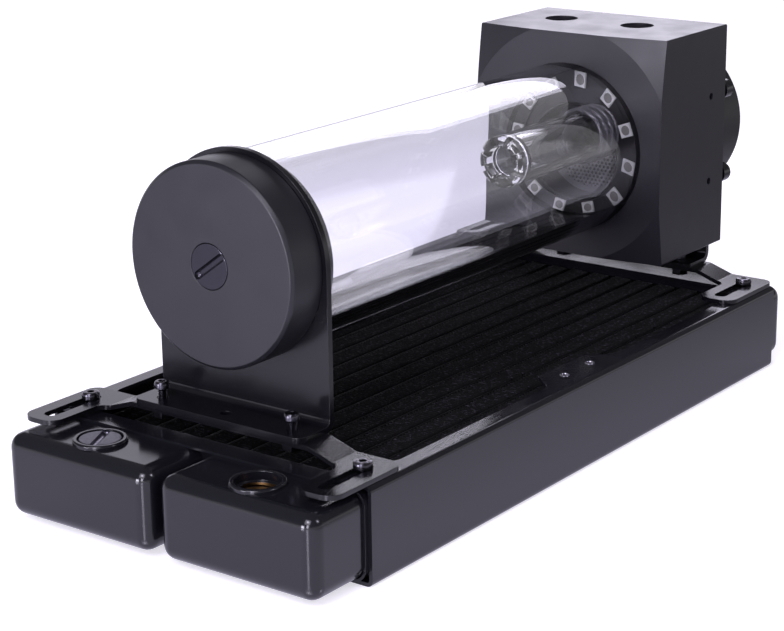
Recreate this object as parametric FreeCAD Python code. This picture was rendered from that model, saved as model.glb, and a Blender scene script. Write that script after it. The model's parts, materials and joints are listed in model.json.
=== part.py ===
import FreeCAD, Part
import math
import os
from FreeCAD import Vector

# A glass tube reservoir with a coolant pump, carried by slotted brackets on a twin fan radiator.
# Millimetres, Z up. X runs across the radiator and Y along it, from the port tanks to the pump.
# Pieces are drawn about the middle of the fan pattern and placed about the middle of the base.

# Radiator: fan pattern and rails
FAN_BAY = 120.0          # length of rail that one fan takes
FAN_BAYS = 2
FAN_HOLES = 105.0        # screw pitch of a fan
RAIL_HEIGHT = 30.0
RAIL_SPREAD = 122.0      # over both rails
RAIL_WALL = 1.2
RAIL_BEND = 2.0          # outer bend radius
LIP_WIDTH = 6.5          # flange between the screw tabs
TAB_IN = 6.0             # tab inwards of its holes
TAB_REACH = 6.0          # tab past its last hole
TAB_FLARE = 7.0          # length in which a tab narrows to the lip
SCALLOP_R = 6.0

# Radiator: end plates, tanks and core
PLATE_WALL = 1.5         # end plate
RIM_WALL = 0.8           # folded rim that holds a tank, and the lip over the core
RIM_REACH = 1.5          # rim past the rail end
CORE_LIP = 3.0           # lip of the end plate over the core
TANK_DEPTH = 23.0        # port tanks, past the rail end
END_TANK_DEPTH = 11.0    # closed tank at the other end
TANK_GAP = 3.4           # between the two port tanks
TANK_WALL = 1.5
TANK_EDGE_R = 4.6
CORE_DEPTH = 19.0        # height of tubes and fins
WATER_TUBES = 12
WATER_TUBE_WIDTH = 2.0
TUBE_LOWER = 0.3         # flat tube under the fins' edges
TUBE_IN_TANK = 1.0       # flat tube past its end plate
FIN_WAVE = 24.0          # one fold of a fin strip, there and back
FIN_GAUGE = 0.4          # fin strip, measured across the radiator

# Threaded ports and their plugs
PORT_CORE_R = 5.9        # quarter inch pipe thread at its tapping size
PORT_SPREAD = 60.6       # between the two radiator ports
PORT_SET_IN = 11.4       # radiator port from the front of its tank
COLLAR_R = 8.25
COLLAR_RISE = 1.2        # above the tank
COLLAR_DEPTH = 9.0       # below the tank's top
COLLAR_BEVEL = 0.4
SINK_R = 6.9             # recess for a plug's head
SINK_DEPTH = 2.9
PLUG_HEAD_R = 6.75
PLUG_HEAD = 1.6
PLUG_SHANK = 7.0
COIN_SLOT = 2.5
COIN_SLOT_DEPTH = 1.1
PLUG_SEAL_R = 0.5        # section of a plug's sealing ring
PORT_PLUG_TURN = -65.0   # slot of the port plug against X

# Machine screws, three millimetres
SCREW_CORE_R = 1.25      # tapped hole
SCREW_HEAD_R = 2.8
FOOT_HEAD_R = 2.35       # smaller cheese head
SCREW_HEAD = 2.2
NUT_FLATS = 5.5
NUT_HEIGHT = 2.4
THREAD_END = 0.4         # screw past its nut

# Brackets
BRACKET_SHEET = 1.5      # slotted bracket
UPRIGHT_SHEET = 2.0
SHEET_BEND = 2.0         # inner bend radius of an upright
BAR_BACK = 9.6           # from the screw row back to the bar's rear edge
BAR_FRONT = 1.5          # from the screw row forward to the bar's front edge
BAR_RISE = 3.0           # how far the middle of the bar is lifted
RAMP_START = 43.0        # half widths at which the bar starts and stops to climb
RAMP_END = 34.0
EAR_FRONT = 22.8         # ear's tip from the screw row
EAR_IN = 6.4             # ear inwards of its screw
EAR_INSET = 1.3          # ear's outer edge from the rail's outside
EAR_CORNER_R = 5.0
EAR_ROOT_R = 4.0
SLOT_WIDTH = 4.4
SLOT_FRONT = 19.0        # slot ends from the screw row
SLOT_BACK = 3.5
UPRIGHT_R = 32.3         # arch of an upright, and half its width
FOOT_LENGTH = 15.8
FOOT_CORNER_R = 3.0
FRONT_SET_BACK = 13.0    # screw row to the back of the upright
REAR_SET_BACK = 10.8
FOOT_SCREW_X = 25.0
FOOT_SCREW_INSET = 4.2   # from the bar's front edge
FOOT_HOLE_R = 1.7
FRONT_SCREW_PROUD = 3.0  # thread that shows under the front heads

# Reservoir
AXIS_RISE = 52.0         # tube axis above the rails
TUBE_R = 30.0
TUBE_WALL = 4.0
SOCKET_DEPTH = 8.0       # tube in the pump block
CAP_R = 30.8
CAP_DEPTH = 13.2
CAP_CHAMFER = 1.0
CAP_NECK = 7.0           # neck past the upright, inside the tube
CAP_NECK_WALL = 5.0
CAP_FLOOR = 7.0          # solid behind the plug's recess
SEAL_R = 0.8             # section of the large sealing rings
CAP_SEAL_PITCH = 3.4
COIN_ANGLE = 36.0        # slot of the fill plug against the level

# Pump block
BLOCK_WIDTH = 76.0
BLOCK_DEPTH = 45.5
BLOCK_ABOVE = 40.75      # from the tube axis
BLOCK_BELOW = 38.4
BLOCK_EDGE = 0.6
FACE_R = 42.0            # flat round face, the corners fall back from it
FACE_FALL = 3.0
SPIGOT_SET_BACK = 1.7    # ring that enters the tube, behind the face
BLOCK_PORT_X = (-19.0, 12.5)
BLOCK_PORT_Y = 26.2      # behind the block's face
BLOCK_PORT_DEPTH = 12.0
CHANNEL_R = 4.0
INLET_R = 17.5           # round recess that feeds the pump
INLET_FLOOR = 14.2       # behind the face
EYE_R = 6.5              # hole from the recess to the impeller
STRAINER = 0.8
STRAINER_HOLE = 3.6      # hexagon, over flats
STRAINER_PITCH = 5.0
SIDE_HOLE_Y = 35.2       # behind the face
SIDE_HOLE_Z = 15.35      # either side of the block's middle
SIDE_HOLE_DEPTH = 7.0
SET_SCREW = 4.5
SET_SCREW_SUNK = 1.2

# Light ring and riser in the reservoir
BOARD = 1.0
BOARD_WIDTH = 5.0
LEDS = 12
LED_SIZE = 4.4
LED_HEIGHT = 0.9
LED_START = 20.0         # angle of the first one
RISER_ANGLE = 33.0       # direction from the tube axis, above the level
RISER_R = 8.5
RISER_BORE_R = 6.0
RISER_REACH = 59.0       # in front of the block's face
RISER_SEAT = 6.0         # in the block
BOSS_WALL = 0.9
FITTING_WALL = 0.5
FITTING_RIB = 0.6
FITTING_LENGTH = 12.0
FITTING_RIBS = 4
RIB_WIDTH = 1.3
TIP_LENGTH = 6.0
TIP_BORE_R = 5.2
TIP_BEVEL = 1.2
NOTCH_DEPTH = 3.0
TIP_NOTCHES = 8

# Pump
PUMP_SPIGOT_R = 25.5
PUMP_SPIGOT = 6.0        # in the block
VOLUTE_R = 21.0
VOLUTE_DEPTH = 6.8
FLANGE_R = 31.0
FLANGE = 2.5
CAN_R = 29.8
CAN_LENGTH = 25.5
CAN_WALL = 1.5
CAN_BEVEL = 1.8
CUP_R = 14.5
CUP_WALL = 1.5
CUP_DEPTH = 17.0         # room for the rotor, from the spigot's face
CLAMP_R = 33.6
CLAMP_LIP = 2.0
CLAMP_SCREW_X = 34.5
CLAMP_EAR_R = 3.4
CLAMP_THREAD = 7.0
IMPELLER_R = 17.0
SHROUD = 1.0
VANES = 6
VANE_SWEEP = 40.0        # degrees that a vane bends back
VANE_GAUGE = 1.2
VANE_STEPS = 4           # flats that make the bend
ROTOR_R = 12.0
PIN_R = 1.8
BALL_R = 2.2
GLAND_R = 4.0
GLAND_BORE_R = 2.0
GLAND_REACH = 4.0
GLAND_TAIL = 1.0         # inside the can's wall
GLAND_INSET = 7.0        # from the can's back

# Clearances
FIT = 0.05               # a round piece in its bore
LOOSE = 0.3              # a piece that slides in with room
RUN = 0.6                # between the impeller and what stands still
EDGE = 0.6               # recess and riser inside the light ring
PAST = 1.0               # how far a cut runs past the face that it opens

# Levels and stations worked out from the sizes above
TOP = RAIL_HEIGHT
RAIL_X = RAIL_SPREAD / 2
CORE_X = RAIL_X - RAIL_WALL
RAIL_END = FAN_BAYS * FAN_BAY / 2
PLATE_OUT = RAIL_END - PLATE_WALL
PLATE_IN = PLATE_OUT - PLATE_WALL
TANK_X = CORE_X - RIM_WALL
TANK_LOW = RAIL_WALL + RIM_WALL
TANK_TOP = RAIL_HEIGHT - TANK_LOW
FRONT_END = RAIL_END + TANK_DEPTH
COLLAR_TOP = TANK_TOP + COLLAR_RISE
PORT_Y = -FRONT_END + PORT_SET_IN
SCREW_X = FAN_HOLES / 2
SCREW_ROW = RAIL_END - (FAN_BAY - FAN_HOLES) / 2
BAR_TOP = TOP + BAR_RISE + BRACKET_SHEET
FOOT_TOP = BAR_TOP + UPRIGHT_SHEET
AXIS_Z = TOP + AXIS_RISE
TUBE_BORE_R = TUBE_R - TUBE_WALL
NECK_R = TUBE_BORE_R - LOOSE
SEAL_MID_R = TUBE_BORE_R - FIT - SEAL_R
GROOVE_R = SEAL_MID_R - SEAL_R - FIT
GROOVE_WIDTH = 2 * SEAL_R + 2 * FIT
FRONT_BACK = -SCREW_ROW + FRONT_SET_BACK
FRONT_FACE = FRONT_BACK - UPRIGHT_SHEET
CAP_FACE = FRONT_FACE - CAP_DEPTH
REAR_BACK = SCREW_ROW + REAR_SET_BACK
BLOCK_BACK = REAR_BACK - UPRIGHT_SHEET
BLOCK_FACE = BLOCK_BACK - BLOCK_DEPTH
BLOCK_TOP = AXIS_Z + BLOCK_ABOVE
BLOCK_LOW = AXIS_Z - BLOCK_BELOW
BLOCK_MID = (BLOCK_TOP + BLOCK_LOW) / 2
SPIGOT_FACE = BLOCK_FACE + SPIGOT_SET_BACK
INLET_BACK = BLOCK_FACE + INLET_FLOOR
BOARD_IN_R = NECK_R - BOARD_WIDTH
INLET_Z = AXIS_Z - (BOARD_IN_R - EDGE - INLET_R)
RIB_R = RISER_R + FITTING_WALL + FITTING_RIB
RISER_OFF = BOARD_IN_R - FIT - RIB_R
RISER_X = RISER_OFF * math.cos(math.radians(RISER_ANGLE))
RISER_Z = AXIS_Z + RISER_OFF * math.sin(math.radians(RISER_ANGLE))
BOSS_R = RISER_R + BOSS_WALL
PORT_ROW = BLOCK_FACE + BLOCK_PORT_Y
SPIGOT_FRONT = BLOCK_BACK - PUMP_SPIGOT
VOLUTE_FRONT = SPIGOT_FRONT - VOLUTE_DEPTH
FLANGE_BACK = REAR_BACK + FLANGE
CAN_BACK = FLANGE_BACK + CAN_LENGTH
CUP_FLOOR = SPIGOT_FRONT + CUP_DEPTH
CLAMP_BACK = FLANGE_BACK + CLAMP_LIP
Y_MID = (CAN_BACK - FRONT_END) / 2


# Shapes used by more than one piece
def outline(corners):
    """A flat face. Each corner is (u, v, radius), and a radius of 0 leaves it sharp."""
    joins = []
    for i, (u, v, radius) in enumerate(corners):
        here = Vector(u, v, 0)
        if radius == 0:
            joins.append((here, here, None))
            continue
        before = corners[i - 1]
        after = corners[(i + 1) % len(corners)]
        back = (Vector(before[0], before[1], 0) - here).normalize()
        ahead = (Vector(after[0], after[1], 0) - here).normalize()
        half = back.getAngle(ahead) / 2
        reach = radius / math.tan(half)
        centre = here + (back + ahead).normalize() * (radius / math.sin(half))
        middle = centre + (here - centre).normalize() * radius
        joins.append((here + back * reach, here + ahead * reach, middle))
    edges = []
    for i, (start, end, middle) in enumerate(joins):
        if middle is not None:
            edges.append(Part.Arc(start, middle, end).toShape())
        following = joins[(i + 1) % len(joins)][0]
        if end.distanceToPoint(following) > 1e-6:
            edges.append(Part.LineSegment(end, following).toShape())
    return Part.Face(Part.Wire(edges))


def plan(corners, low, high):
    """An outline in X and Y, raised from low to high."""
    face = outline(corners)
    face.translate(Vector(0, 0, low))
    return face.extrude(Vector(0, 0, high - low))


def across(corners, front, back):
    """An outline in X and Z, carried from front to back along Y."""
    face = outline(corners)
    face.rotate(Vector(0, 0, 0), Vector(1, 0, 0), 90)
    face.translate(Vector(0, front, 0))
    return face.extrude(Vector(0, back - front, 0))


def along(corners, left, right):
    """An outline in Y and Z, carried from left to right along X."""
    face = outline(corners)
    face.rotate(Vector(0, 0, 0), Vector(1, 1, 1), 120)
    face.translate(Vector(left, 0, 0))
    return face.extrude(Vector(right - left, 0, 0))


def frame(low_u, high_u, low_v, high_v, radius=0):
    """The corners of a rectangle."""
    return [(low_u, low_v, radius), (high_u, low_v, radius), (high_u, high_v, radius), (low_u, high_v, radius)]


def box(x, y, z):
    """A box from three (low, high) pairs."""
    return Part.makeBox(x[1] - x[0], y[1] - y[0], z[1] - z[0], Vector(x[0], y[0], z[0]))


def rod(radius, front, back, x=0.0, z=AXIS_Z):
    """A cylinder along Y."""
    return Part.makeCylinder(radius, back - front, Vector(x, front, z), Vector(0, 1, 0))


def post(radius, x, y, low, high):
    """A cylinder along Z."""
    return Part.makeCylinder(radius, high - low, Vector(x, y, low))


def tube(outer, inner, front, back, x=0.0, z=AXIS_Z):
    return rod(outer, front, back, x, z).cut(rod(inner, front, back, x, z))


def seal(mid, section, y):
    """A sealing ring around the tube axis, square as it sits squeezed in its groove."""
    return tube(mid + section, mid - section, y - section, y + section)


def groove(y, depth_r, outer_r):
    """The room for a sealing ring, cut into a spigot."""
    return tube(outer_r + FIT, depth_r, y - GROOVE_WIDTH / 2, y + GROOVE_WIDTH / 2)


def hexagon(u, v, flats):
    """The corners of a hexagon, from its width over flats."""
    reach = flats / math.sqrt(3)
    turns = [math.radians(60 * i) for i in range(6)]
    return [(u + reach * math.cos(turn), v + reach * math.sin(turn), 0) for turn in turns]


def mirrored(shape, across_y=False):
    return shape.mirror(Vector(0, 0, 0), Vector(0, 1, 0) if across_y else Vector(1, 0, 0))


def pan_head(length, radius=SCREW_HEAD_R):
    """A screw that points down, with its head on z = 0 and its thread at core size."""
    head = post(radius, 0, 0, 0, SCREW_HEAD)
    return head.fuse(post(SCREW_CORE_R - FIT, 0, 0, -length, 0)).removeSplitter()


# Radiator
def bay_holes():
    """Stations of the fan screws along one rail."""
    rows = []
    for i in range(FAN_BAYS):
        middle = -RAIL_END + (i + 0.5) * FAN_BAY
        rows += [middle - FAN_HOLES / 2, middle + FAN_HOLES / 2]
    return rows


def side_rail():
    """A folded channel, open towards the core, with screw tabs on both flanges."""
    tab_x = SCREW_X - TAB_IN
    lip_x = RAIL_X - LIP_WIDTH
    bend = RAIL_BEND
    profile = [(tab_x, 0, 0), (RAIL_X, 0, bend), (RAIL_X, RAIL_HEIGHT, bend), (tab_x, RAIL_HEIGHT, 0)]
    hollow = [(tab_x - PAST, RAIL_WALL, 0), (CORE_X, RAIL_WALL, bend - RAIL_WALL),
              (CORE_X, RAIL_HEIGHT - RAIL_WALL, bend - RAIL_WALL), (tab_x - PAST, RAIL_HEIGHT - RAIL_WALL, 0)]
    rail = across(profile, -RAIL_END, RAIL_END).cut(across(hollow, -RAIL_END - PAST, RAIL_END + PAST))
    margin = (FAN_BAY - FAN_HOLES) / 2 + TAB_REACH
    for i in range(FAN_BAYS):
        start = -RAIL_END + i * FAN_BAY + margin
        end = -RAIL_END + (i + 1) * FAN_BAY - margin
        scallop = [(tab_x - PAST, start, 0), (tab_x, start, 0), (lip_x, start + TAB_FLARE, SCALLOP_R),
                   (lip_x, end - TAB_FLARE, SCALLOP_R), (tab_x, end, 0), (tab_x - PAST, end, 0)]
        rail = rail.cut(plan(scallop, -PAST, RAIL_HEIGHT + PAST))
    for y in bay_holes():
        rail = rail.cut(post(SCREW_CORE_R, SCREW_X, y, -PAST, RAIL_HEIGHT + PAST))
    return rail


def tube_stations():
    """Middles of the flat tubes across the core."""
    room = (2 * CORE_X - WATER_TUBES * WATER_TUBE_WIDTH) / (WATER_TUBES + 1)
    pitch = room + WATER_TUBE_WIDTH
    return [-CORE_X + (i + 1) * pitch - WATER_TUBE_WIDTH / 2 for i in range(WATER_TUBES)]


def flat_tube(x, slack, front, back):
    """One flat tube, or its slot when slack is more than 0."""
    half = WATER_TUBE_WIDTH / 2 + slack
    low = (RAIL_HEIGHT - CORE_DEPTH) / 2 + TUBE_LOWER
    return box((x - half, x + half), (front, back), (low - slack, RAIL_HEIGHT - low + slack))


def header_plate():
    """The end plate: a tray that holds the tank, slots for the flat tubes, lips over the core."""
    corner = TANK_EDGE_R
    plate = across(frame(-CORE_X, CORE_X, RAIL_WALL, RAIL_HEIGHT - RAIL_WALL, corner),
                   -RAIL_END - RIM_REACH, -PLATE_IN)
    tray = across(frame(-TANK_X, TANK_X, TANK_LOW, TANK_TOP, corner - RIM_WALL),
                  -RAIL_END - RIM_REACH - PAST, -PLATE_OUT)
    plate = plate.cut(tray)
    lip_x = CORE_X - corner
    for low in (RAIL_WALL, TANK_TOP):
        plate = plate.fuse(box((-lip_x, lip_x), (-PLATE_IN, -PLATE_IN + CORE_LIP), (low, low + RIM_WALL)))
    for x in tube_stations():
        plate = plate.cut(flat_tube(x, FIT, -PLATE_OUT - PAST, -PLATE_IN + PAST))
    return plate.removeSplitter()


def tank(low_x, high_x, depth):
    """A drawn tank: a rounded box, hollow, open where it meets the end plate at the front rails' end."""
    front = -RAIL_END - depth
    shell = box((low_x, high_x), (front, -PLATE_OUT), (TANK_LOW, TANK_TOP))
    rounded = [e for e in shell.Edges if e.BoundBox.YMin < -PLATE_OUT - 1]
    shell = shell.makeFillet(TANK_EDGE_R, rounded)
    inside = box((low_x + TANK_WALL, high_x - TANK_WALL), (front + TANK_WALL, -PLATE_OUT + PAST),
                 (TANK_LOW + TANK_WALL, TANK_TOP - TANK_WALL))
    return shell.cut(inside)


def port_tank():
    """The right hand port tank."""
    shell = tank(TANK_GAP / 2, TANK_X, TANK_DEPTH)
    return shell.cut(post(COLLAR_R + FIT, PORT_SPREAD / 2, PORT_Y, TANK_TOP - COLLAR_DEPTH, TANK_TOP + PAST))


def port_collar():
    """The right hand threaded bush, with a recess for a plug's head."""
    x = PORT_SPREAD / 2
    bush = post(COLLAR_R, x, PORT_Y, TANK_TOP - COLLAR_DEPTH, COLLAR_TOP)
    rim = [e for e in bush.Edges if e.Closed and e.BoundBox.ZMin > COLLAR_TOP - FIT]
    bush = bush.makeChamfer(COLLAR_BEVEL, rim)
    bush = bush.cut(post(SINK_R, x, PORT_Y, COLLAR_TOP - SINK_DEPTH, COLLAR_TOP + PAST))
    return bush.cut(post(PORT_CORE_R, x, PORT_Y, 0, COLLAR_TOP))


def fin_strip(low_x, high_x):
    """One folded fin strip between two flat tubes."""
    start = -PLATE_IN + FIT
    folds = 2 * round((PLATE_IN - FIT) * 2 / FIN_WAVE)
    step = (PLATE_IN - FIT) * 2 / folds
    reach = high_x - low_x - FIN_GAUGE
    there = [(low_x + reach * (i % 2), start + i * step, 0) for i in range(folds + 1)]
    back = [(x + FIN_GAUGE, y, 0) for x, y, radius in reversed(there)]
    low = (RAIL_HEIGHT - CORE_DEPTH) / 2
    return plan(there + back, low, low + CORE_DEPTH)


def fins():
    """Fin strips between the rails and the flat tubes."""
    half = WATER_TUBE_WIDTH / 2
    walls = [-CORE_X - half] + tube_stations() + [CORE_X + half]
    return [fin_strip(a + half, b - half) for a, b in zip(walls, walls[1:])]


def plug():
    """A threaded plug that points down from z = 0, with a coin slot along X."""
    head = post(PLUG_HEAD_R, 0, 0, -PLUG_HEAD, 0)
    shank = post(PORT_CORE_R - FIT, 0, 0, -PLUG_HEAD - PLUG_SHANK, -PLUG_HEAD)
    slot = box((-SINK_R, SINK_R), (-COIN_SLOT / 2, COIN_SLOT / 2), (-COIN_SLOT_DEPTH, PAST))
    return head.fuse(shank).removeSplitter().cut(slot)


def plug_seal():
    """The sealing ring under a plug's head."""
    mid = (PORT_CORE_R - FIT + SINK_R) / 2
    top = -PLUG_HEAD - FIT
    ring = post(mid + PLUG_SEAL_R, 0, 0, top - 2 * PLUG_SEAL_R, top)
    return ring.cut(post(mid - PLUG_SEAL_R, 0, 0, top - 2 * PLUG_SEAL_R, top))


def in_port(shape):
    """Puts a plug or its ring into the left radiator port."""
    shape = shape.copy()
    seat = COLLAR_TOP - SINK_DEPTH + 2 * PLUG_SEAL_R + 2 * FIT
    shape.rotate(Vector(0, 0, 0), Vector(0, 0, 1), PORT_PLUG_TURN)
    shape.translate(Vector(-PORT_SPREAD / 2, PORT_Y, seat + PLUG_HEAD))
    return shape


def in_cap(shape):
    """Puts a plug or its ring into the end cap, head outwards."""
    shape = shape.copy()
    shape.rotate(Vector(0, 0, 0), Vector(1, 0, 0), 90)
    shape.rotate(Vector(0, 0, 0), Vector(0, 1, 0), -COIN_ANGLE)
    shape.translate(Vector(0, CAP_FACE, AXIS_Z))
    return shape


def slot_screws():
    """The screws in the bracket slots."""
    screws = []
    for x in (-SCREW_X, SCREW_X):
        for y in (-SCREW_ROW, SCREW_ROW):
            screw = pan_head(BRACKET_SHEET + 2 * FIT + RAIL_WALL)
            screw.translate(Vector(x, y, TOP + BRACKET_SHEET + 2 * FIT))
            screws.append(screw)
    return screws


# Brackets
def cross_bracket(row):
    """A slotted bracket: two flat ears on the rails and a bar that is lifted between them."""
    ear_out = RAIL_X - EAR_INSET
    ear_in = SCREW_X - EAR_IN
    lift = BAR_RISE
    gauge = BRACKET_SHEET
    bend = gauge
    section = [(-ear_out, TOP, 0), (-RAMP_START, TOP, bend), (-RAMP_END, TOP + lift, bend),
               (RAMP_END, TOP + lift, bend), (RAMP_START, TOP, bend), (ear_out, TOP, 0),
               (ear_out, TOP + gauge, 0), (RAMP_START, TOP + gauge, bend), (RAMP_END, TOP + lift + gauge, bend),
               (-RAMP_END, TOP + lift + gauge, bend), (-RAMP_START, TOP + gauge, bend), (-ear_out, TOP + gauge, 0)]
    tip = row - EAR_FRONT
    front = row - BAR_FRONT
    back = row + BAR_BACK
    sheet = across(section, tip, back)
    corner = min(EAR_CORNER_R, (ear_out - ear_in) / 2 - FIT)
    shape = [(-ear_out, back, EAR_ROOT_R), (-ear_out, tip, corner), (-ear_in, tip, corner),
             (-ear_in, front, EAR_ROOT_R), (ear_in, front, EAR_ROOT_R), (ear_in, tip, corner),
             (ear_out, tip, corner), (ear_out, back, EAR_ROOT_R)]
    bracket = sheet.common(plan(shape, TOP - PAST, BAR_TOP + PAST))
    half = SLOT_WIDTH / 2
    for x in (-SCREW_X, SCREW_X):
        start = row - SLOT_FRONT + half
        end = row + SLOT_BACK - half
        slot = box((x - half, x + half), (start, end), (TOP - PAST, TOP + gauge + PAST))
        for y in (start, end):
            slot = slot.fuse(post(half, x, y, TOP - PAST, TOP + gauge + PAST))
        bracket = bracket.cut(slot)
    for x in (-FOOT_SCREW_X, FOOT_SCREW_X):
        bracket = bracket.cut(post(FOOT_HOLE_R, x, front + FOOT_SCREW_INSET, TOP, BAR_TOP + PAST))
    return bracket


def upright_bracket(back, row):
    """An arched plate with a round window, and a foot that is folded forwards onto the bar."""
    sheet = UPRIGHT_SHEET
    outer = SHEET_BEND + sheet
    reach = back - FOOT_LENGTH
    top = AXIS_Z + UPRIGHT_R
    fold = [(reach, BAR_TOP, 0), (back, BAR_TOP, outer), (back, top, 0), (back - sheet, top, 0),
            (back - sheet, FOOT_TOP, SHEET_BEND), (reach, FOOT_TOP, 0)]
    plate = along(fold, -UPRIGHT_R, UPRIGHT_R)
    arch = rod(UPRIGHT_R, reach - PAST, back + PAST)
    arch = arch.fuse(box((-UPRIGHT_R, UPRIGHT_R), (reach - PAST, back + PAST), (BAR_TOP, AXIS_Z)))
    toes = plan([(-UPRIGHT_R, reach, FOOT_CORNER_R), (UPRIGHT_R, reach, FOOT_CORNER_R),
                 (UPRIGHT_R, back, 0), (-UPRIGHT_R, back, 0)], BAR_TOP, top)
    plate = plate.common(arch).common(toes)
    plate = plate.cut(rod(TUBE_BORE_R, back - sheet - PAST, back + PAST))
    for x in (-FOOT_SCREW_X, 0, FOOT_SCREW_X):
        plate = plate.cut(post(FOOT_HOLE_R, x, row - BAR_FRONT + FOOT_SCREW_INSET, BAR_TOP - PAST, FOOT_TOP + PAST))
    return plate


def foot_spots():
    """Middles of the foot screws, with the thread that shows under each head."""
    spots = []
    for row, proud in ((-SCREW_ROW, FRONT_SCREW_PROUD), (SCREW_ROW, 0.0)):
        for x in (-FOOT_SCREW_X, FOOT_SCREW_X):
            spots.append((x, row - BAR_FRONT + FOOT_SCREW_INSET, proud))
    return spots


def foot_screws():
    """Screws that hold the uprights to the slotted brackets."""
    screws = []
    for x, y, proud in foot_spots():
        screw = pan_head(proud + UPRIGHT_SHEET + BRACKET_SHEET + NUT_HEIGHT + THREAD_END, FOOT_HEAD_R)
        screw.translate(Vector(x, y, FOOT_TOP + proud))
        screws.append(screw)
    return screws


def foot_nuts():
    """Hexagon nuts under the bars."""
    nuts = []
    for x, y, proud in foot_spots():
        under = BAR_TOP - BRACKET_SHEET
        nut = plan(hexagon(x, y, NUT_FLATS), under - NUT_HEIGHT, under)
        nuts.append(nut.cut(post(SCREW_CORE_R, x, y, under - NUT_HEIGHT - PAST, under + PAST)))
    return nuts


# Reservoir
def cap_seal_stations():
    middle = FRONT_BACK + CAP_NECK / 2
    return [middle - CAP_SEAL_PITCH / 2, middle + CAP_SEAL_PITCH / 2]


def end_cap():
    """A turned cap: a disc outside the upright, a grooved neck in the tube and the fill hole."""
    disc = rod(CAP_R, CAP_FACE, FRONT_FACE)
    rim = [e for e in disc.Edges if e.Closed and e.BoundBox.YMax < CAP_FACE + FIT]
    disc = disc.makeChamfer(CAP_CHAMFER, rim)
    cap = disc.fuse(rod(NECK_R, FRONT_FACE, FRONT_BACK + CAP_NECK)).removeSplitter()
    cap = cap.cut(rod(NECK_R - CAP_NECK_WALL, CAP_FACE + SINK_DEPTH + CAP_FLOOR, FRONT_BACK + CAP_NECK + PAST))
    for y in cap_seal_stations():
        cap = cap.cut(groove(y, GROOVE_R, TUBE_BORE_R))
    seat = PLUG_HEAD + 2 * PLUG_SEAL_R + 2 * FIT
    cap = cap.cut(rod(SINK_R, CAP_FACE - PAST, CAP_FACE + seat))
    return cap.cut(rod(PORT_CORE_R, CAP_FACE, FRONT_BACK + CAP_NECK))


def cap_seals():
    return [seal(SEAL_MID_R, SEAL_R, y) for y in cap_seal_stations()]


def glass_tube():
    """The clear tube, from the front upright to the floor of its socket."""
    return tube(TUBE_R, TUBE_BORE_R, FRONT_BACK, BLOCK_FACE + SOCKET_DEPTH)


def tube_seal_station():
    return (SPIGOT_FACE + BLOCK_FACE + SOCKET_DEPTH) / 2


def tube_seal():
    return seal(SEAL_MID_R, SEAL_R, tube_seal_station())


# Pump block
def channel(start, end):
    """A round bore from one point to another."""
    run = end - start
    return Part.makeCylinder(CHANNEL_R, run.Length, start, run)


def block_body():
    """The block with its round face: the corners fall back as a shallow cone."""
    half = BLOCK_WIDTH / 2
    body = across(frame(-half, half, BLOCK_LOW, BLOCK_TOP, BLOCK_EDGE), BLOCK_FACE, BLOCK_BACK)
    corner = math.hypot(half, (BLOCK_TOP - BLOCK_LOW) / 2) + 1
    cone = Part.makeCone(FACE_R, corner, FACE_FALL, Vector(0, BLOCK_FACE, BLOCK_MID), Vector(0, 1, 0))
    rest = rod(corner, BLOCK_FACE + FACE_FALL, BLOCK_BACK, 0, BLOCK_MID)
    return body.common(cone.fuse(rest))


def block_waterways():
    """Ports in the top, the riser's channel and the pump's outlet, as solids to cut away."""
    left, right = BLOCK_PORT_X
    port_floor = BLOCK_TOP - BLOCK_PORT_DEPTH
    cuts = [post(PORT_CORE_R, x, PORT_ROW, port_floor, BLOCK_TOP + PAST) for x in BLOCK_PORT_X]
    cuts.append(channel(Vector(right, PORT_ROW, RISER_Z), Vector(right, PORT_ROW, port_floor + PAST)))
    cuts.append(rod(CHANNEL_R, BLOCK_FACE + RISER_SEAT, PORT_ROW, RISER_X, RISER_Z))
    volute_mid = (VOLUTE_FRONT + SPIGOT_FRONT) / 2
    tangent = Vector(-VOLUTE_R + CHANNEL_R, volute_mid, AXIS_Z)
    cuts.append(channel(tangent, Vector(left, PORT_ROW, port_floor + PAST)))
    return cuts


def clamp_spots():
    """Middles of the clamp screws and of the holes in the block's sides, in X and Z."""
    return [(x, BLOCK_MID + z) for x in (-CLAMP_SCREW_X, CLAMP_SCREW_X) for z in (-SIDE_HOLE_Z, SIDE_HOLE_Z)]


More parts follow.
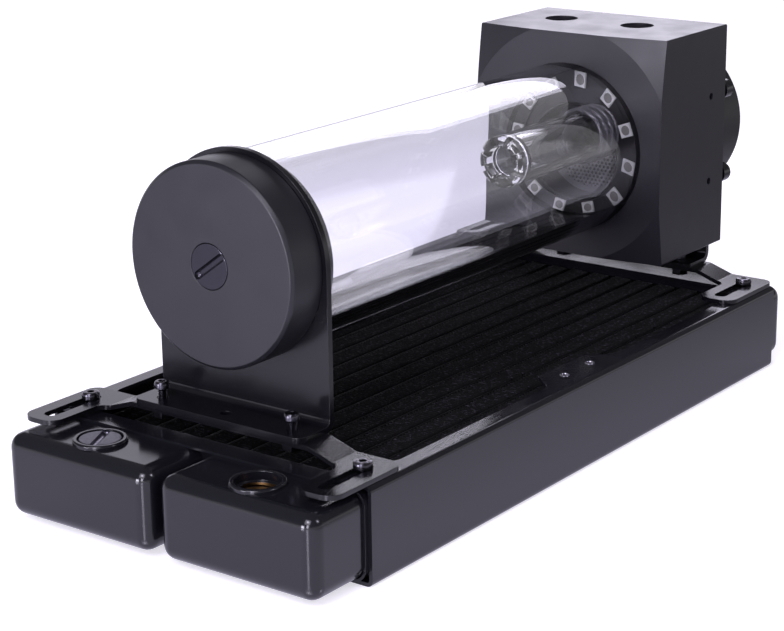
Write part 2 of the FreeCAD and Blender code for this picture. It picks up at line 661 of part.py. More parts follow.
def pump_block():
    """The machined block that carries tube, ports, riser, light ring and pump."""
    block = block_body()
    socket = tube(TUBE_R + FIT, NECK_R, BLOCK_FACE - PAST, BLOCK_FACE + SOCKET_DEPTH)
    block = block.cut(socket).cut(rod(TUBE_R, BLOCK_FACE - PAST, SPIGOT_FACE))
    block = block.cut(groove(tube_seal_station(), GROOVE_R, TUBE_BORE_R))
    block = block.cut(rod(INLET_R, BLOCK_FACE - PAST, INLET_BACK, 0, INLET_Z))
    block = block.fuse(rod(BOSS_R, SPIGOT_FACE, INLET_BACK, RISER_X, RISER_Z))
    block = block.cut(rod(RISER_R + FIT, BLOCK_FACE - PAST, BLOCK_FACE + RISER_SEAT, RISER_X, RISER_Z))
    block = block.cut(rod(EYE_R, INLET_BACK - PAST, VOLUTE_FRONT + PAST))
    block = block.cut(rod(VOLUTE_R, VOLUTE_FRONT, SPIGOT_FRONT))
    block = block.cut(rod(PUMP_SPIGOT_R + FIT, SPIGOT_FRONT, BLOCK_BACK + PAST))
    for waterway in block_waterways():
        block = block.cut(waterway)
    half = BLOCK_WIDTH / 2
    for x, z in clamp_spots():
        block = block.cut(rod(SCREW_CORE_R, BLOCK_BACK - CLAMP_THREAD, BLOCK_BACK + PAST, x, z))
        side = 1 if x > 0 else -1
        start = Vector(side * (half - SIDE_HOLE_DEPTH), BLOCK_FACE + SIDE_HOLE_Y, z)
        block = block.cut(Part.makeCylinder(SCREW_CORE_R, SIDE_HOLE_DEPTH + PAST, start, Vector(side, 0, 0)))
    return block


def set_screws():
    """Headless screws in the block's side holes."""
    screws = []
    outer = BLOCK_WIDTH / 2 - SET_SCREW_SUNK
    for x, z in clamp_spots():
        side = 1 if x > 0 else -1
        start = Vector(side * (outer - SET_SCREW), BLOCK_FACE + SIDE_HOLE_Y, z)
        screws.append(Part.makeCylinder(SCREW_CORE_R - FIT, SET_SCREW, start, Vector(side, 0, 0)))
    return screws


def strainer_holes():
    """Middles of the strainer's holes, in a six sided pattern, where they clear rim and boss."""
    spots = []
    reach = int(INLET_R / STRAINER_PITCH) + 2
    for i in range(-reach, reach + 1):
        for j in range(-reach, reach + 1):
            x = STRAINER_PITCH * (i + j / 2)
            z = INLET_Z + STRAINER_PITCH * j * math.sqrt(3) / 2
            in_disc = math.hypot(x, z - INLET_Z) < INLET_R - STRAINER_HOLE
            off_boss = math.hypot(x - RISER_X, z - RISER_Z) > BOSS_R + STRAINER_HOLE
            if in_disc and off_boss:
                spots.append((x, z))
    return spots


def inlet_strainer():
    """The perforated disc on the recess floor, cut out round the riser's boss."""
    disc = rod(INLET_R - FIT, INLET_BACK - STRAINER, INLET_BACK, 0, INLET_Z)
    disc = disc.cut(rod(BOSS_R + FIT, INLET_BACK - STRAINER - PAST, INLET_BACK + PAST, RISER_X, RISER_Z))
    for x, z in strainer_holes():
        disc = disc.cut(across(hexagon(x, z, STRAINER_HOLE), INLET_BACK - STRAINER - PAST, INLET_BACK + PAST))
    return max(disc.Solids, key=lambda solid: solid.Volume)


# Light ring and riser
def led_board():
    """The ring shaped circuit board on the spigot's face."""
    return tube(NECK_R - FIT, BOARD_IN_R, SPIGOT_FACE - BOARD, SPIGOT_FACE)


def leds():
    """Square lamps, turned to face the middle."""
    lamps = []
    radius = (NECK_R + BOARD_IN_R) / 2
    back = SPIGOT_FACE - BOARD
    for i in range(LEDS):
        half = LED_SIZE / 2
        lamp = box((radius - half, radius + half), (back - LED_HEIGHT, back), (-half, half))
        lamp.rotate(Vector(0, 0, 0), Vector(0, 1, 0), -(LED_START + 360 * i / LEDS))
        lamp.translate(Vector(0, 0, AXIS_Z))
        lamps.append(lamp)
    return lamps


def riser_tube():
    """The clear riser, from its seat in the block to the notched tip."""
    front = BLOCK_FACE - RISER_REACH + TIP_LENGTH
    return tube(RISER_R, RISER_BORE_R, front, BLOCK_FACE + RISER_SEAT, RISER_X, RISER_Z)


def riser_tip():
    """A clear end ring with notches round its mouth."""
    front = BLOCK_FACE - RISER_REACH
    back = front + TIP_LENGTH
    tip = rod(RISER_R, front, back, RISER_X, RISER_Z)
    rim = [e for e in tip.Edges if e.Closed and e.BoundBox.YMax < front + FIT]
    tip = tip.makeChamfer(TIP_BEVEL, rim)
    tip = tip.cut(rod(TIP_BORE_R, front - PAST, back + PAST, RISER_X, RISER_Z))
    wide = math.pi * RISER_R / TIP_NOTCHES / 2
    for i in range(TIP_NOTCHES):
        notch = box((TIP_BORE_R - PAST, RISER_R + PAST), (front - PAST, front + NOTCH_DEPTH), (-wide / 2, wide / 2))
        notch.rotate(Vector(0, 0, 0), Vector(0, 1, 0), 360 * (i + 0.5) / TIP_NOTCHES)
        notch.translate(Vector(RISER_X, 0, RISER_Z))
        tip = tip.cut(notch)
    return tip


def riser_fitting():
    """The ribbed fitting that holds the riser against the boss."""
    front = SPIGOT_FACE - FITTING_LENGTH
    core = RISER_R + FITTING_WALL
    body = rod(core, front, SPIGOT_FACE, RISER_X, RISER_Z)
    pitch = (FITTING_LENGTH - RIB_WIDTH) / (FITTING_RIBS - 1)
    for i in range(FITTING_RIBS):
        start = front + i * pitch
        body = body.fuse(rod(RIB_R, start, start + RIB_WIDTH, RISER_X, RISER_Z))
    return body.removeSplitter().cut(rod(RISER_R + FIT, front - PAST, SPIGOT_FACE + PAST, RISER_X, RISER_Z))


# Pump
def pump_seal_station():
    return SPIGOT_FRONT + PUMP_SPIGOT / 2


def pump_housing():
    """Spigot, flange and rotor cup in one moulding."""
    body = rod(PUMP_SPIGOT_R, SPIGOT_FRONT, REAR_BACK)
    body = body.fuse(rod(FLANGE_R, REAR_BACK, FLANGE_BACK))
    body = body.fuse(rod(CUP_R, SPIGOT_FRONT, CUP_FLOOR + CUP_WALL)).removeSplitter()
    body = body.cut(rod(CUP_R - CUP_WALL, SPIGOT_FRONT - PAST, CUP_FLOOR))
    mid = PUMP_SPIGOT_R - SEAL_R
    return body.cut(groove(pump_seal_station(), mid - SEAL_R - FIT, PUMP_SPIGOT_R))


def pump_seal():
    return seal(PUMP_SPIGOT_R - SEAL_R, SEAL_R, pump_seal_station())


def pump_can():
    """The motor's can, closed at the back, with a hole for the cable's grommet."""
    can = rod(CAN_R, FLANGE_BACK, CAN_BACK)
    rim = [e for e in can.Edges if e.Closed and e.BoundBox.YMin > CAN_BACK - FIT]
    can = can.makeChamfer(CAN_BEVEL, rim)
    can = can.cut(rod(CAN_R - CAN_WALL, FLANGE_BACK - PAST, CAN_BACK - CAN_WALL))
    return can.cut(post(GLAND_R + FIT, 0, CAN_BACK - GLAND_INSET, AXIS_Z - CAN_R - PAST, AXIS_Z))


def stator():
    """The wound stator, a ring between the rotor's cup and the can."""
    back = CAN_BACK - GLAND_INSET - GLAND_R - RUN
    return tube(CAN_R - CAN_WALL - FIT, CUP_R + FIT, FLANGE_BACK, back)


def cable_gland():
    """The rubber grommet under the can."""
    y = CAN_BACK - GLAND_INSET
    low = AXIS_Z - CAN_R - GLAND_REACH
    stem = post(GLAND_R, 0, y, low, AXIS_Z - CAN_R + CAN_WALL + GLAND_TAIL)
    return stem.cut(post(GLAND_BORE_R, 0, y, low - PAST, AXIS_Z))


def pump_clamp():
    """The ring that presses the pump's flange to the block, with four screw ears."""
    ring = rod(CLAMP_R, REAR_BACK, CLAMP_BACK)
    for x, z in clamp_spots():
        bridge = box((min(0, x), max(0, x)), (REAR_BACK, CLAMP_BACK), (z - CLAMP_EAR_R, z + CLAMP_EAR_R))
        ring = ring.fuse(bridge).fuse(rod(CLAMP_EAR_R, REAR_BACK, CLAMP_BACK, x, z))
    ring = ring.removeSplitter().cut(rod(FLANGE_R + FIT, REAR_BACK - PAST, FLANGE_BACK))
    ring = ring.cut(rod(CAN_R + FIT, FLANGE_BACK - PAST, CLAMP_BACK + PAST))
    for x, z in clamp_spots():
        ring = ring.cut(rod(FOOT_HOLE_R, REAR_BACK - PAST, CLAMP_BACK + PAST, x, z))
    return ring


def clamp_screws():
    """Four screws from behind, through the clamp's ears into the block."""
    screws = []
    for x, z in clamp_spots():
        screw = pan_head(CLAMP_BACK - BLOCK_BACK + CLAMP_THREAD - LOOSE)
        screw.rotate(Vector(0, 0, 0), Vector(1, 0, 0), -90)
        screw.translate(Vector(x, CLAMP_BACK, z))
        screws.append(screw)
    return screws


def impeller_vane(front, back):
    """A vane that bends back evenly from the eye to the rim."""
    inner = EYE_R + SHROUD
    outer = IMPELLER_R - FIT
    near, far = [], []
    for i in range(VANE_STEPS + 1):
        share = i / VANE_STEPS
        radius = inner + (outer - inner) * share
        turn = math.radians(-VANE_SWEEP * share)
        half = math.asin(VANE_GAUGE / 2 / radius)
        near.append((radius * math.cos(turn - half), radius * math.sin(turn - half), 0))
        far.append((radius * math.cos(turn + half), radius * math.sin(turn + half), 0))
    return across(near + far[::-1], front, back)


def impeller():
    """A closed impeller on its rotor, hollow behind for the bearing."""
    front = VOLUTE_FRONT + RUN
    back = SPIGOT_FRONT - RUN
    wheel = tube(IMPELLER_R, EYE_R + SHROUD, front, front + SHROUD, 0, 0).fuse(
        rod(IMPELLER_R, back - SHROUD, back, 0, 0))
    for i in range(VANES):
        vane = impeller_vane(front + SHROUD, back - SHROUD)
        vane.rotate(Vector(0, 0, 0), Vector(0, 1, 0), 360 * i / VANES)
        wheel = wheel.fuse(vane)
    wheel = wheel.fuse(rod(ROTOR_R, back, CUP_FLOOR - 2 * RUN, 0, 0))
    wheel = wheel.cut(rod(BALL_R + LOOSE, ball_station() - BALL_R - FIT, CUP_FLOOR, 0, 0)).removeSplitter()
    wheel.translate(Vector(0, 0, AXIS_Z))
    return wheel


def ball_station():
    """Middle of the bearing ball."""
    return SPIGOT_FRONT + BALL_R


def bearing_ball():
    return Part.makeSphere(BALL_R, Vector(0, ball_station(), AXIS_Z))


def bearing_pin():
    """The pin that carries the ball, from the floor of the rotor's cup."""
    return rod(PIN_R, ball_station() + BALL_R + FIT, CUP_FLOOR)


# Files
def save(node, solids):
    """Writes one node, placed about the middle of the base."""
    solids = solids if isinstance(solids, list) else [solids]
    shape = Part.makeCompound(solids) if len(solids) > 1 else solids[0]
    shape.translate(Vector(0, -Y_MID, 0))
    shape.exportStep("parts/" + node + ".step")


def pieces():
    """Every node's name with its solid or solids."""
    rail = side_rail()
    plate = header_plate()
    collar = port_collar()
    water_tubes = [flat_tube(x, 0, -PLATE_OUT - TUBE_IN_TANK, PLATE_OUT + TUBE_IN_TANK) for x in tube_stations()]
    port_side = port_tank()
    return {
        "side_rail_right": rail,
        "side_rail_left": mirrored(rail),
        "header_plate_front": plate,
        "header_plate_rear": mirrored(plate, across_y=True),
        "tank_front_right": port_side,
        "tank_front_left": mirrored(port_side),
        "tank_rear": mirrored(tank(-TANK_X, TANK_X, END_TANK_DEPTH), across_y=True),
        "port_collar_right": collar,
        "port_collar_left": mirrored(collar),
        "flat_tubes": water_tubes,
        "fins": fins(),
        "port_plug": in_port(plug()),
        "port_plug_seal": in_port(plug_seal()),
        "slot_screws": slot_screws(),
        "cross_bracket_front": cross_bracket(-SCREW_ROW),
        "cross_bracket_rear": cross_bracket(SCREW_ROW),
        "upright_bracket_front": upright_bracket(FRONT_BACK, -SCREW_ROW),
        "upright_bracket_rear": upright_bracket(REAR_BACK, SCREW_ROW),
        "foot_screws": foot_screws(),
        "foot_nuts": foot_nuts(),
        "end_cap": end_cap(),
        "cap_seals": cap_seals(),
        "fill_plug": in_cap(plug()),
        "fill_plug_seal": in_cap(plug_seal()),
        "glass_tube": glass_tube(),
        "tube_seal": tube_seal(),
        "pump_block": pump_block(),
        "set_screws": set_screws(),
        "inlet_strainer": inlet_strainer(),
        "led_board": led_board(),
        "leds": leds(),
        "riser_tube": riser_tube(),
        "riser_tip": riser_tip(),
        "riser_fitting": riser_fitting(),
        "pump_housing": pump_housing(),
        "pump_seal": pump_seal(),
        "pump_can": pump_can(),
        "stator": stator(),
        "cable_gland": cable_gland(),
        "pump_clamp": pump_clamp(),
        "clamp_screws": clamp_screws(),
        "impeller": impeller(),
        "bearing_ball": bearing_ball(),
        "bearing_pin": bearing_pin(),
    }


def main():
    os.makedirs("parts", exist_ok=True)
    for node, solids in pieces().items():
        save(node, solids)
    print("overall length", round(CAN_BACK + FRONT_END, 2), "height", round(BLOCK_TOP, 2))


main()
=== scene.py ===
import bmesh
import bpy
import json
import math
from mathutils import Matrix, Vector

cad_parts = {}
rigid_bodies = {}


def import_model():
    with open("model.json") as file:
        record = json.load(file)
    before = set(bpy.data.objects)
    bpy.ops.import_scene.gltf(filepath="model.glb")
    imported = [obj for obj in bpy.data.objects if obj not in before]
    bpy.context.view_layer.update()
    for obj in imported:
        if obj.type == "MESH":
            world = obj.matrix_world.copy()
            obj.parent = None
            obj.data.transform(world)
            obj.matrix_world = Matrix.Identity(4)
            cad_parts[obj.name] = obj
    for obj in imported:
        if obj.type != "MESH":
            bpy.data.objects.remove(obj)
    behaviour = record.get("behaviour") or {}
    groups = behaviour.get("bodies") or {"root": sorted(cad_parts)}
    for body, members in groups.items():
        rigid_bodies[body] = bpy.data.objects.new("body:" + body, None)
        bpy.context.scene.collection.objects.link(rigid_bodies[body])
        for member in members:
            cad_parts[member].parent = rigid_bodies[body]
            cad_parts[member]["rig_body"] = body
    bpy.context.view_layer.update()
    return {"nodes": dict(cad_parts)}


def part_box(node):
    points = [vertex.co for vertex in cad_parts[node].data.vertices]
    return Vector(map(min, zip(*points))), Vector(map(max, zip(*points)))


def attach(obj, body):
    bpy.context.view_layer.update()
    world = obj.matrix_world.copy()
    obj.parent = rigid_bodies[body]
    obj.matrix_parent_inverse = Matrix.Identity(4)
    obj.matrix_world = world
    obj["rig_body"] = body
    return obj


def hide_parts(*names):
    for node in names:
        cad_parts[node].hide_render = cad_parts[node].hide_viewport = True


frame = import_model()
scene = bpy.context.scene


# The camera
# It stands in front of the port tanks, to the right and a little above, as the photographer did.
# Its stand is in metres and its turns are in degrees.
stand = (0.392287, -0.555043, 0.243311)
turn, tilt, roll = 36.885, 16.81, -0.761
camera_data = bpy.data.cameras.new("camera")
camera_data.sensor_fit = "HORIZONTAL"
camera_data.sensor_width = 36.0
camera_data.lens = 97.68
camera = bpy.data.objects.new("camera", camera_data)
scene.collection.objects.link(camera)
camera.matrix_world = (
    Matrix.Translation(stand)
    @ Matrix.Rotation(math.radians(turn), 4, "Z")
    @ Matrix.Rotation(math.radians(90 - tilt), 4, "X")
    @ Matrix.Rotation(math.radians(roll), 4, "Z")
)
scene.camera = camera
scene.view_settings.view_transform = "Standard"


# The room
# A white sweep of paper. Softboxes with a hot middle stand in front and at the right, two low ones in front,
# and two behind, the farther one dimmer. Paint and glass mirror the paper, paler in front than at the right.
def linear(colour):
    """A colour written as it looks, as the numbers that the light is worked out with."""
    parts = [int(colour[i:i + 2], 16) / 255 for i in (1, 3, 5)]
    return [c / 12.92 if c <= 0.04045 else ((c + 0.055) / 1.055) ** 2.4 for c in parts] + [1.0]


def add(tree, kind, settings=None, links=None):
    """Adds one node, sets its properties or inputs, and joins its inputs to other nodes' sockets."""
    node = tree.nodes.new(kind)
    for name, value in (settings or {}).items():
        if isinstance(name, str) and hasattr(node, name):
            setattr(node, name, value)
        else:
            node.inputs[name].default_value = value
    for name, source in (links or {}).items():
        tree.links.new(source, node.inputs[name])
    return node


def how_seen(tree):
    """1 for what the camera sees, by itself or through glass, and 1 for what a shiny surface mirrors."""
    path = add(tree, "ShaderNodeLightPath")
    either = add(tree, "ShaderNodeMath", {"operation": "MAXIMUM"},
                 {0: path.outputs["Is Camera Ray"], 1: path.outputs["Is Transmission Ray"]})
    return either.outputs[0], path.outputs["Is Glossy Ray"]


world = bpy.data.worlds.new("white room")
scene.world = world
world.use_nodes = True
sky = world.node_tree
sky.nodes.clear()
direct, in_gloss = how_seen(sky)
heading = add(sky, "ShaderNodeTexCoord")
height = add(sky, "ShaderNodeSeparateXYZ", links={0: heading.outputs["Generated"]})
# Mirrored, the room is pale near the paper and dim higher up. As fill light it is even.
low_sky = add(sky, "ShaderNodeMapRange",
              {"interpolation_type": "SMOOTHSTEP", "From Min": 0.02, "From Max": 0.22,
               "To Min": 0.9, "To Max": 0.14}, {"Value": height.outputs["Z"]})
gloss_part = add(sky, "ShaderNodeMath", {"operation": "MULTIPLY"}, {0: low_sky.outputs[0], 1: in_gloss})
fill_part = add(sky, "ShaderNodeMath", {"operation": "MULTIPLY_ADD", 1: -0.42, 2: 0.42}, {0: in_gloss})
indirect = add(sky, "ShaderNodeMath", {"operation": "ADD"},
               {0: gloss_part.outputs[0], 1: fill_part.outputs[0]})
level = add(sky, "ShaderNodeMix", {"data_type": "FLOAT", "B": 1.06},
            {"Factor": direct, "A": indirect.outputs[0]})
white = add(sky, "ShaderNodeBackground", {"Color": linear("#fbf9ff")}, {"Strength": level.outputs[0]})
add(sky, "ShaderNodeOutputWorld", links={"Surface": white.outputs[0]})

floor_mesh = bpy.data.meshes.new("floor")
floor_mesh.from_pydata([(-9, -9, 0), (9, -9, 0), (9, 9, 0), (-9, 9, 0)], [], [(0, 1, 2, 3)])
floor = bpy.data.objects.new("floor", floor_mesh)
scene.collection.objects.link(floor)
paper = bpy.data.materials.new("white paper")
paper.use_nodes = True
tree = paper.node_tree
tree.nodes.clear()
direct, in_gloss = how_seen(tree)
place = add(tree, "ShaderNodeTexCoord")
spot = add(tree, "ShaderNodeSeparateXYZ", links={0: place.outputs["Object"]})
# How far a spot lies to the right and back. Mirrored, the paper fades that way, and a little the other way.
away = add(tree, "ShaderNodeMath", {"operation": "MULTIPLY_ADD", 1: 0.4},
           {0: spot.outputs["Y"], 2: spot.outputs["X"]})
fade = add(tree, "ShaderNodeMapRange", {"interpolation_type": "SMOOTHSTEP", "From Min": 0.04, "From Max": 0.3,
                                        "To Min": 1.0, "To Max": 0.0}, {"Value": away.outputs[0]})
far_left = add(tree, "ShaderNodeMapRange", {"From Min": -0.4, "From Max": -0.15,
                                            "To Min": 0.55, "To Max": 0.95}, {"Value": away.outputs[0]})
faded = add(tree, "ShaderNodeMath", {"operation": "MULTIPLY"}, {0: fade.outputs[0], 1: far_left.outputs[0]})
gloss_part = add(tree, "ShaderNodeMath", {"operation": "MULTIPLY"}, {0: faded.outputs[0], 1: in_gloss})
# Seen directly, the paper's own glow makes it white, and more so far off, where the lamps don't reach.
far = add(tree, "ShaderNodeVectorMath", {"operation": "LENGTH"}, {0: place.outputs["Object"]})
sweep = add(tree, "ShaderNodeMapRange", {"From Min": 0.5, "From Max": 3.0, "To Min": 0.62, "To Max": 1.05},
            {"Value": far.outputs["Value"]})
level = add(tree, "ShaderNodeMix", {"data_type": "FLOAT"},
            {"Factor": direct, "A": gloss_part.outputs[0], "B": sweep.outputs[0]})
matt = add(tree, "ShaderNodeBsdfDiffuse", {"Color": linear("#e2e0e8")})
cast = add(tree, "ShaderNodeMix", {"data_type": "RGBA", 6: linear("#fbf9ff"), 7: linear("#e6e2ff")},
           {0: in_gloss})
glow = add(tree, "ShaderNodeEmission", links={"Color": cast.outputs[2], "Strength": level.outputs[0]})
both = add(tree, "ShaderNodeAddShader", links={0: matt.outputs[0], 1: glow.outputs[0]})
polish = add(tree, "ShaderNodeBsdfAnisotropic", {"Roughness": 0.1})
shiny = add(tree, "ShaderNodeMapRange", {"From Min": 0.04, "From Max": 0.3, "To Min": 0.4, "To Max": 0.8},
            {"Value": away.outputs[0]})
share = add(tree, "ShaderNodeMath", {"operation": "MULTIPLY"}, {0: in_gloss, 1: shiny.outputs[0]})
top = add(tree, "ShaderNodeMixShader", links={0: share.outputs[0], 1: both.outputs[0], 2: polish.outputs[0]})
add(tree, "ShaderNodeOutputMaterial", links={"Surface": top.outputs[0]})
floor_mesh.materials.append(paper)


def softbox(name, middle, towards, size, radiance):
    """A lamp behind a flat white cloth, turned towards a point. Its radiance is what a mirror shows."""
    lamp = bpy.data.lights.new(name, "AREA")
    lamp.shape = "RECTANGLE"
    lamp.size, lamp.size_y = size
    lamp.energy = radiance * math.pi * size[0] * size[1]
    lamp.color = linear("#f1edff")[:3]
    holder = bpy.data.objects.new(name, lamp)
    scene.collection.objects.link(holder)
    holder.location = middle
    holder.rotation_euler = (Vector(towards) - Vector(middle)).to_track_quat("-Z", "Y").to_euler()


# The four upper lamps face a point just above the middle of the radiator.
aim = (0, 0, 0.05)
softbox("softbox in front", (0.22, -1.05, 0.92), aim, (0.9, 0.75), 3.6)
softbox("hot middle in front", (0.219, -1.045, 0.916), aim, (0.34, 0.28), 12.0)
softbox("softbox at the right", (1.3, 0.25, 1.0), aim, (0.45, 0.5), 2.6)
softbox("hot middle at the right", (1.295, 0.249, 0.996), aim, (0.2, 0.22), 11.0)
softbox("low softbox, left", (-0.3, -1.2, 0.14), (-0.05, 0, 0.1), (0.4, 0.24), 20.0)
softbox("low softbox, right", (0.35, -1.2, 0.3), (0.0, 0, 0.1), (0.25, 0.4), 12.0)
softbox("softbox behind", (-0.20, 0.50, 0.335), (-0.20, 0, 0.31), (0.26, 0.33), 3.2)
softbox("far softbox behind", (-0.78, 0.52, 0.32), (-0.2, 0, 0.2), (0.7, 0.4), 1.0)


# Radiator housing
# Folded sheet rails, end plates and drawn tanks. All are steel under black stoving enamel, brazed to the core
# and sprayed as one. The paint is smooth and rounds every edge, so the edges carry thin bright lines.
MM = 0.001


def new_finish(name, colour, **values):
    """A material, its shader and the piece's own coordinates in metres."""
    finish = bpy.data.materials.new(name)
    finish.use_nodes = True
    tree = finish.node_tree
    shader = tree.nodes["Principled BSDF"]
    shader.inputs["Base Color"].default_value = linear(colour)
    for key, value in values.items():
        shader.inputs[key.replace("_", " ")].default_value = value
    here = add(tree, "ShaderNodeTexCoord").outputs["Object"]
    return finish, tree, shader, here


def per_mm(size):
    """The scale of a pattern whose grain is this many millimetres."""
    return 1 / (size * MM)


def uneven_gloss(tree, shader, here, grain, detail, low, high, ends=(0.3, 0.7)):
    """Lets the roughness wander from low to high. The grain is in millimetres."""
    patches = add(tree, "ShaderNodeTexNoise", {"Scale": per_mm(grain), "Detail": detail}, {"Vector": here})
    spread = add(tree, "ShaderNodeMapRange",
                 {"From Min": ends[0], "From Max": ends[1], "To Min": low, "To Max": high},
                 {"Value": patches.outputs[0]})
    tree.links.new(spread.outputs[0], shader.inputs["Roughness"])


def fine_relief(tree, shader, here, grain, detail, strength, height):
    """Raises and sinks the skin a little. The grain and the height are in millimetres."""
    hills = add(tree, "ShaderNodeTexNoise", {"Scale": per_mm(grain), "Detail": detail}, {"Vector": here})
    skin = add(tree, "ShaderNodeBump", {"Strength": strength, "Distance": height * MM},
               {"Height": hills.outputs[0]})
    tree.links.new(skin.outputs[0], shader.inputs["Normal"])


def eased(node, edge, steps=2, from_angle=30, smooth=30):
    """A solid with its sharp edges rounded. The piece takes the solid's place on its body."""
    source = frame["nodes"][node]
    work = bmesh.new()
    work.from_mesh(source.data)
    bmesh.ops.remove_doubles(work, verts=work.verts, dist=1e-6)
    bmesh.ops.dissolve_limit(work, angle_limit=math.radians(0.4), verts=work.verts, edges=work.edges)
    limit = math.radians(from_angle)
    sharp = [e for e in work.edges if len(e.link_faces) == 2 and e.calc_face_angle() > limit]
    bmesh.ops.bevel(work, geom=sharp, offset=edge * MM, offset_type="OFFSET", segments=steps, profile=0.5,
                    affect="EDGES", clamp_overlap=True)
    return placed(node + "_finished", work, source["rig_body"], [node], smooth)


def smoothed(piece, angle):
    """Shades a piece smooth but for its real edges, and keeps its flat faces flat."""
    piece.data.shade_smooth()
    piece.data.set_sharp_from_angle(angle=math.radians(angle))
    even = piece.modifiers.new("flat faces first", "WEIGHTED_NORMAL")
    even.keep_sharp = True


def as_object(name, work):
    """Turns mesh work into an object."""
    mesh = bpy.data.meshes.new(name)
    work.to_mesh(mesh)
    work.free()
    made = bpy.data.objects.new(name, mesh)
    scene.collection.objects.link(made)
    return made


def placed(name, work, body, nodes=(), smooth=30):
    """Turns mesh work into a piece on its body, in place of the nodes."""
    piece = as_object(name, work)
    smoothed(piece, smooth)
    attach(piece, body)
    if nodes:
        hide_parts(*nodes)
    return piece


def dressed(piece, finish):
    """Gives a piece its material."""
    piece.data.materials.clear()
    piece.data.materials.append(finish)


# Black stoving enamel: sprayed and baked, near black with a blue tone, glossy with a trace of orange peel.
enamel, tree, shader, here = new_finish("black stoving enamel", "#141419", Roughness=0.15, IOR=1.54)
uneven_gloss(tree, shader, here, grain=14, detail=3.0, low=0.12, high=0.18)
fine_relief(tree, shader, here, grain=2.6, detail=2.0, strength=0.05, height=0.02)

for node in ("side_rail_right", "side_rail_left"):
    dressed(eased(node, 0.35, 3), enamel)
for node in ("header_plate_front", "header_plate_rear"):
    dressed(eased(node, 0.3, 3), enamel)


def drawn_tank(node, open_back):
    """A deep drawn tank: its edges are rounded but for the end that sits in the tray."""
    low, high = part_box(node)
    work = bmesh.new()
    bmesh.ops.create_cube(work, size=1.0)
    for corner in work.verts:
        corner.co = [(low[i] + high[i]) / 2 + corner.co[i] * (high[i] - low[i]) for i in range(3)]
    open_y = high.y if open_back else low.y
    draw_radius = 4.6 * MM
    round_edges = [e for e in work.edges if not all(abs(v.co.y - open_y) < 1e-6 for v in e.verts)]
    bmesh.ops.bevel(work, geom=round_edges, offset=draw_radius, offset_type="OFFSET", segments=8, profile=0.5,
                    affect="EDGES")
    return placed(node + "_drawn", work, "radiator", [node])


def turned(work, profile, place=Matrix.Identity(4), steps=48):
    """Adds a turned shape to mesh work. Each (radius, station, sides) corner of the profile is a ring round
    Z, in millimetres, with flat sides if their number is given. A radius of 0 is a pole, and a profile with
    no pole closes on itself."""
    rings = []
    for corner in profile:
        radius, station = corner[:2]
        if radius == 0:
            rings.append([work.verts.new(place @ Vector((0, 0, station * MM)))])
            continue
        ring = []
        for i in range(steps):
            turn = 2 * math.pi * i / steps
            reach = radius * MM
            if len(corner) > 2:
                half = math.pi / corner[2]
                reach /= math.cos((turn + half) % (2 * half) - half)
            spot = Vector((reach * math.cos(turn), reach * math.sin(turn), station * MM))
            ring.append(work.verts.new(place @ spot))
        rings.append(ring)
    poles = len(rings[0]) == 1 and len(rings[-1]) == 1
    faces = []
    for a, b in zip(rings, rings[1:] if poles else rings[1:] + rings[:1]):
        for i in range(steps):
            j = (i + 1) % steps
            corners = [a[i % len(a)], a[j % len(a)], b[j % len(b)], b[i % len(b)]]
            faces.append(work.faces.new(dict.fromkeys(corners)))
    bmesh.ops.recalc_face_normals(work, faces=faces)


def drilled(piece, profile, place, steps=96):
    """Cuts a turned shape out of a piece."""
    work = bmesh.new()
    turned(work, profile, place, steps)
    drill = as_object("drill", work)
    piece.modifiers.clear()
    cut = piece.modifiers.new("bore", "BOOLEAN")
    cut.operation, cut.object, cut.solver = "DIFFERENCE", drill, "EXACT"
    depsgraph = bpy.context.evaluated_depsgraph_get()
    piece.data = bpy.data.meshes.new_from_object(piece.evaluated_get(depsgraph), depsgraph=depsgraph)
    piece.modifiers.clear()
    smoothed(piece, 30)
    bpy.data.objects.remove(drill)


# The hole for a bush starts above the tank's floor and goes out through its top.
hole_low, hole_high = 4, 40
for side in ("right", "left"):
    bush_low, bush_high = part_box("port_collar_" + side)
    tank = drawn_tank("tank_front_" + side, True)
    bush = (bush_high.x - bush_low.x) / 2 / MM
    down = Matrix.Translation(((bush_low.x + bush_high.x) / 2, (bush_low.y + bush_high.y) / 2, 0))
    drilled(tank, [(0, hole_low), (bush, hole_low), (bush, hole_high), (0, hole_high)], down)
    dressed(tank, enamel)
dressed(drawn_tank("tank_rear", False), enamel)


# Radiator core
# Twelve flat tubes with folded strips of fins between them, soldered and then sprayed thinly with matt
# black. A strip's folds are about 1.5 mm apart, and no two folds lie quite alike.
def new_tree(name, **inputs):
    """A geometry tree that takes points and named sizes, and gives a mesh."""
    kinds = {int: "NodeSocketInt", float: "NodeSocketFloat", tuple: "NodeSocketVector",
             bpy.types.Object: "NodeSocketObject"}
    tree = bpy.data.node_groups.new(name, "GeometryNodeTree")
    tree.interface.new_socket("Geometry", in_out="INPUT", socket_type="NodeSocketGeometry")
    for key, value in inputs.items():
        size = tree.interface.new_socket(key, in_out="INPUT", socket_type=kinds[type(value)])
        size.default_value = value
    tree.interface.new_socket("Geometry", in_out="OUTPUT", socket_type="NodeSocketGeometry")
    return tree, add(tree, "NodeGroupInput").outputs


def close_tree(tree, geometry, finish):
    """Makes the copies real, gives them their material and ends the tree."""
    real = add(tree, "GeometryNodeRealizeInstances", links={0: geometry})
    painted = add(tree, "GeometryNodeSetMaterial", {"Material": finish}, {"Geometry": real.outputs[0]})
    add(tree, "NodeGroupOutput", links={0: painted.outputs[0]})


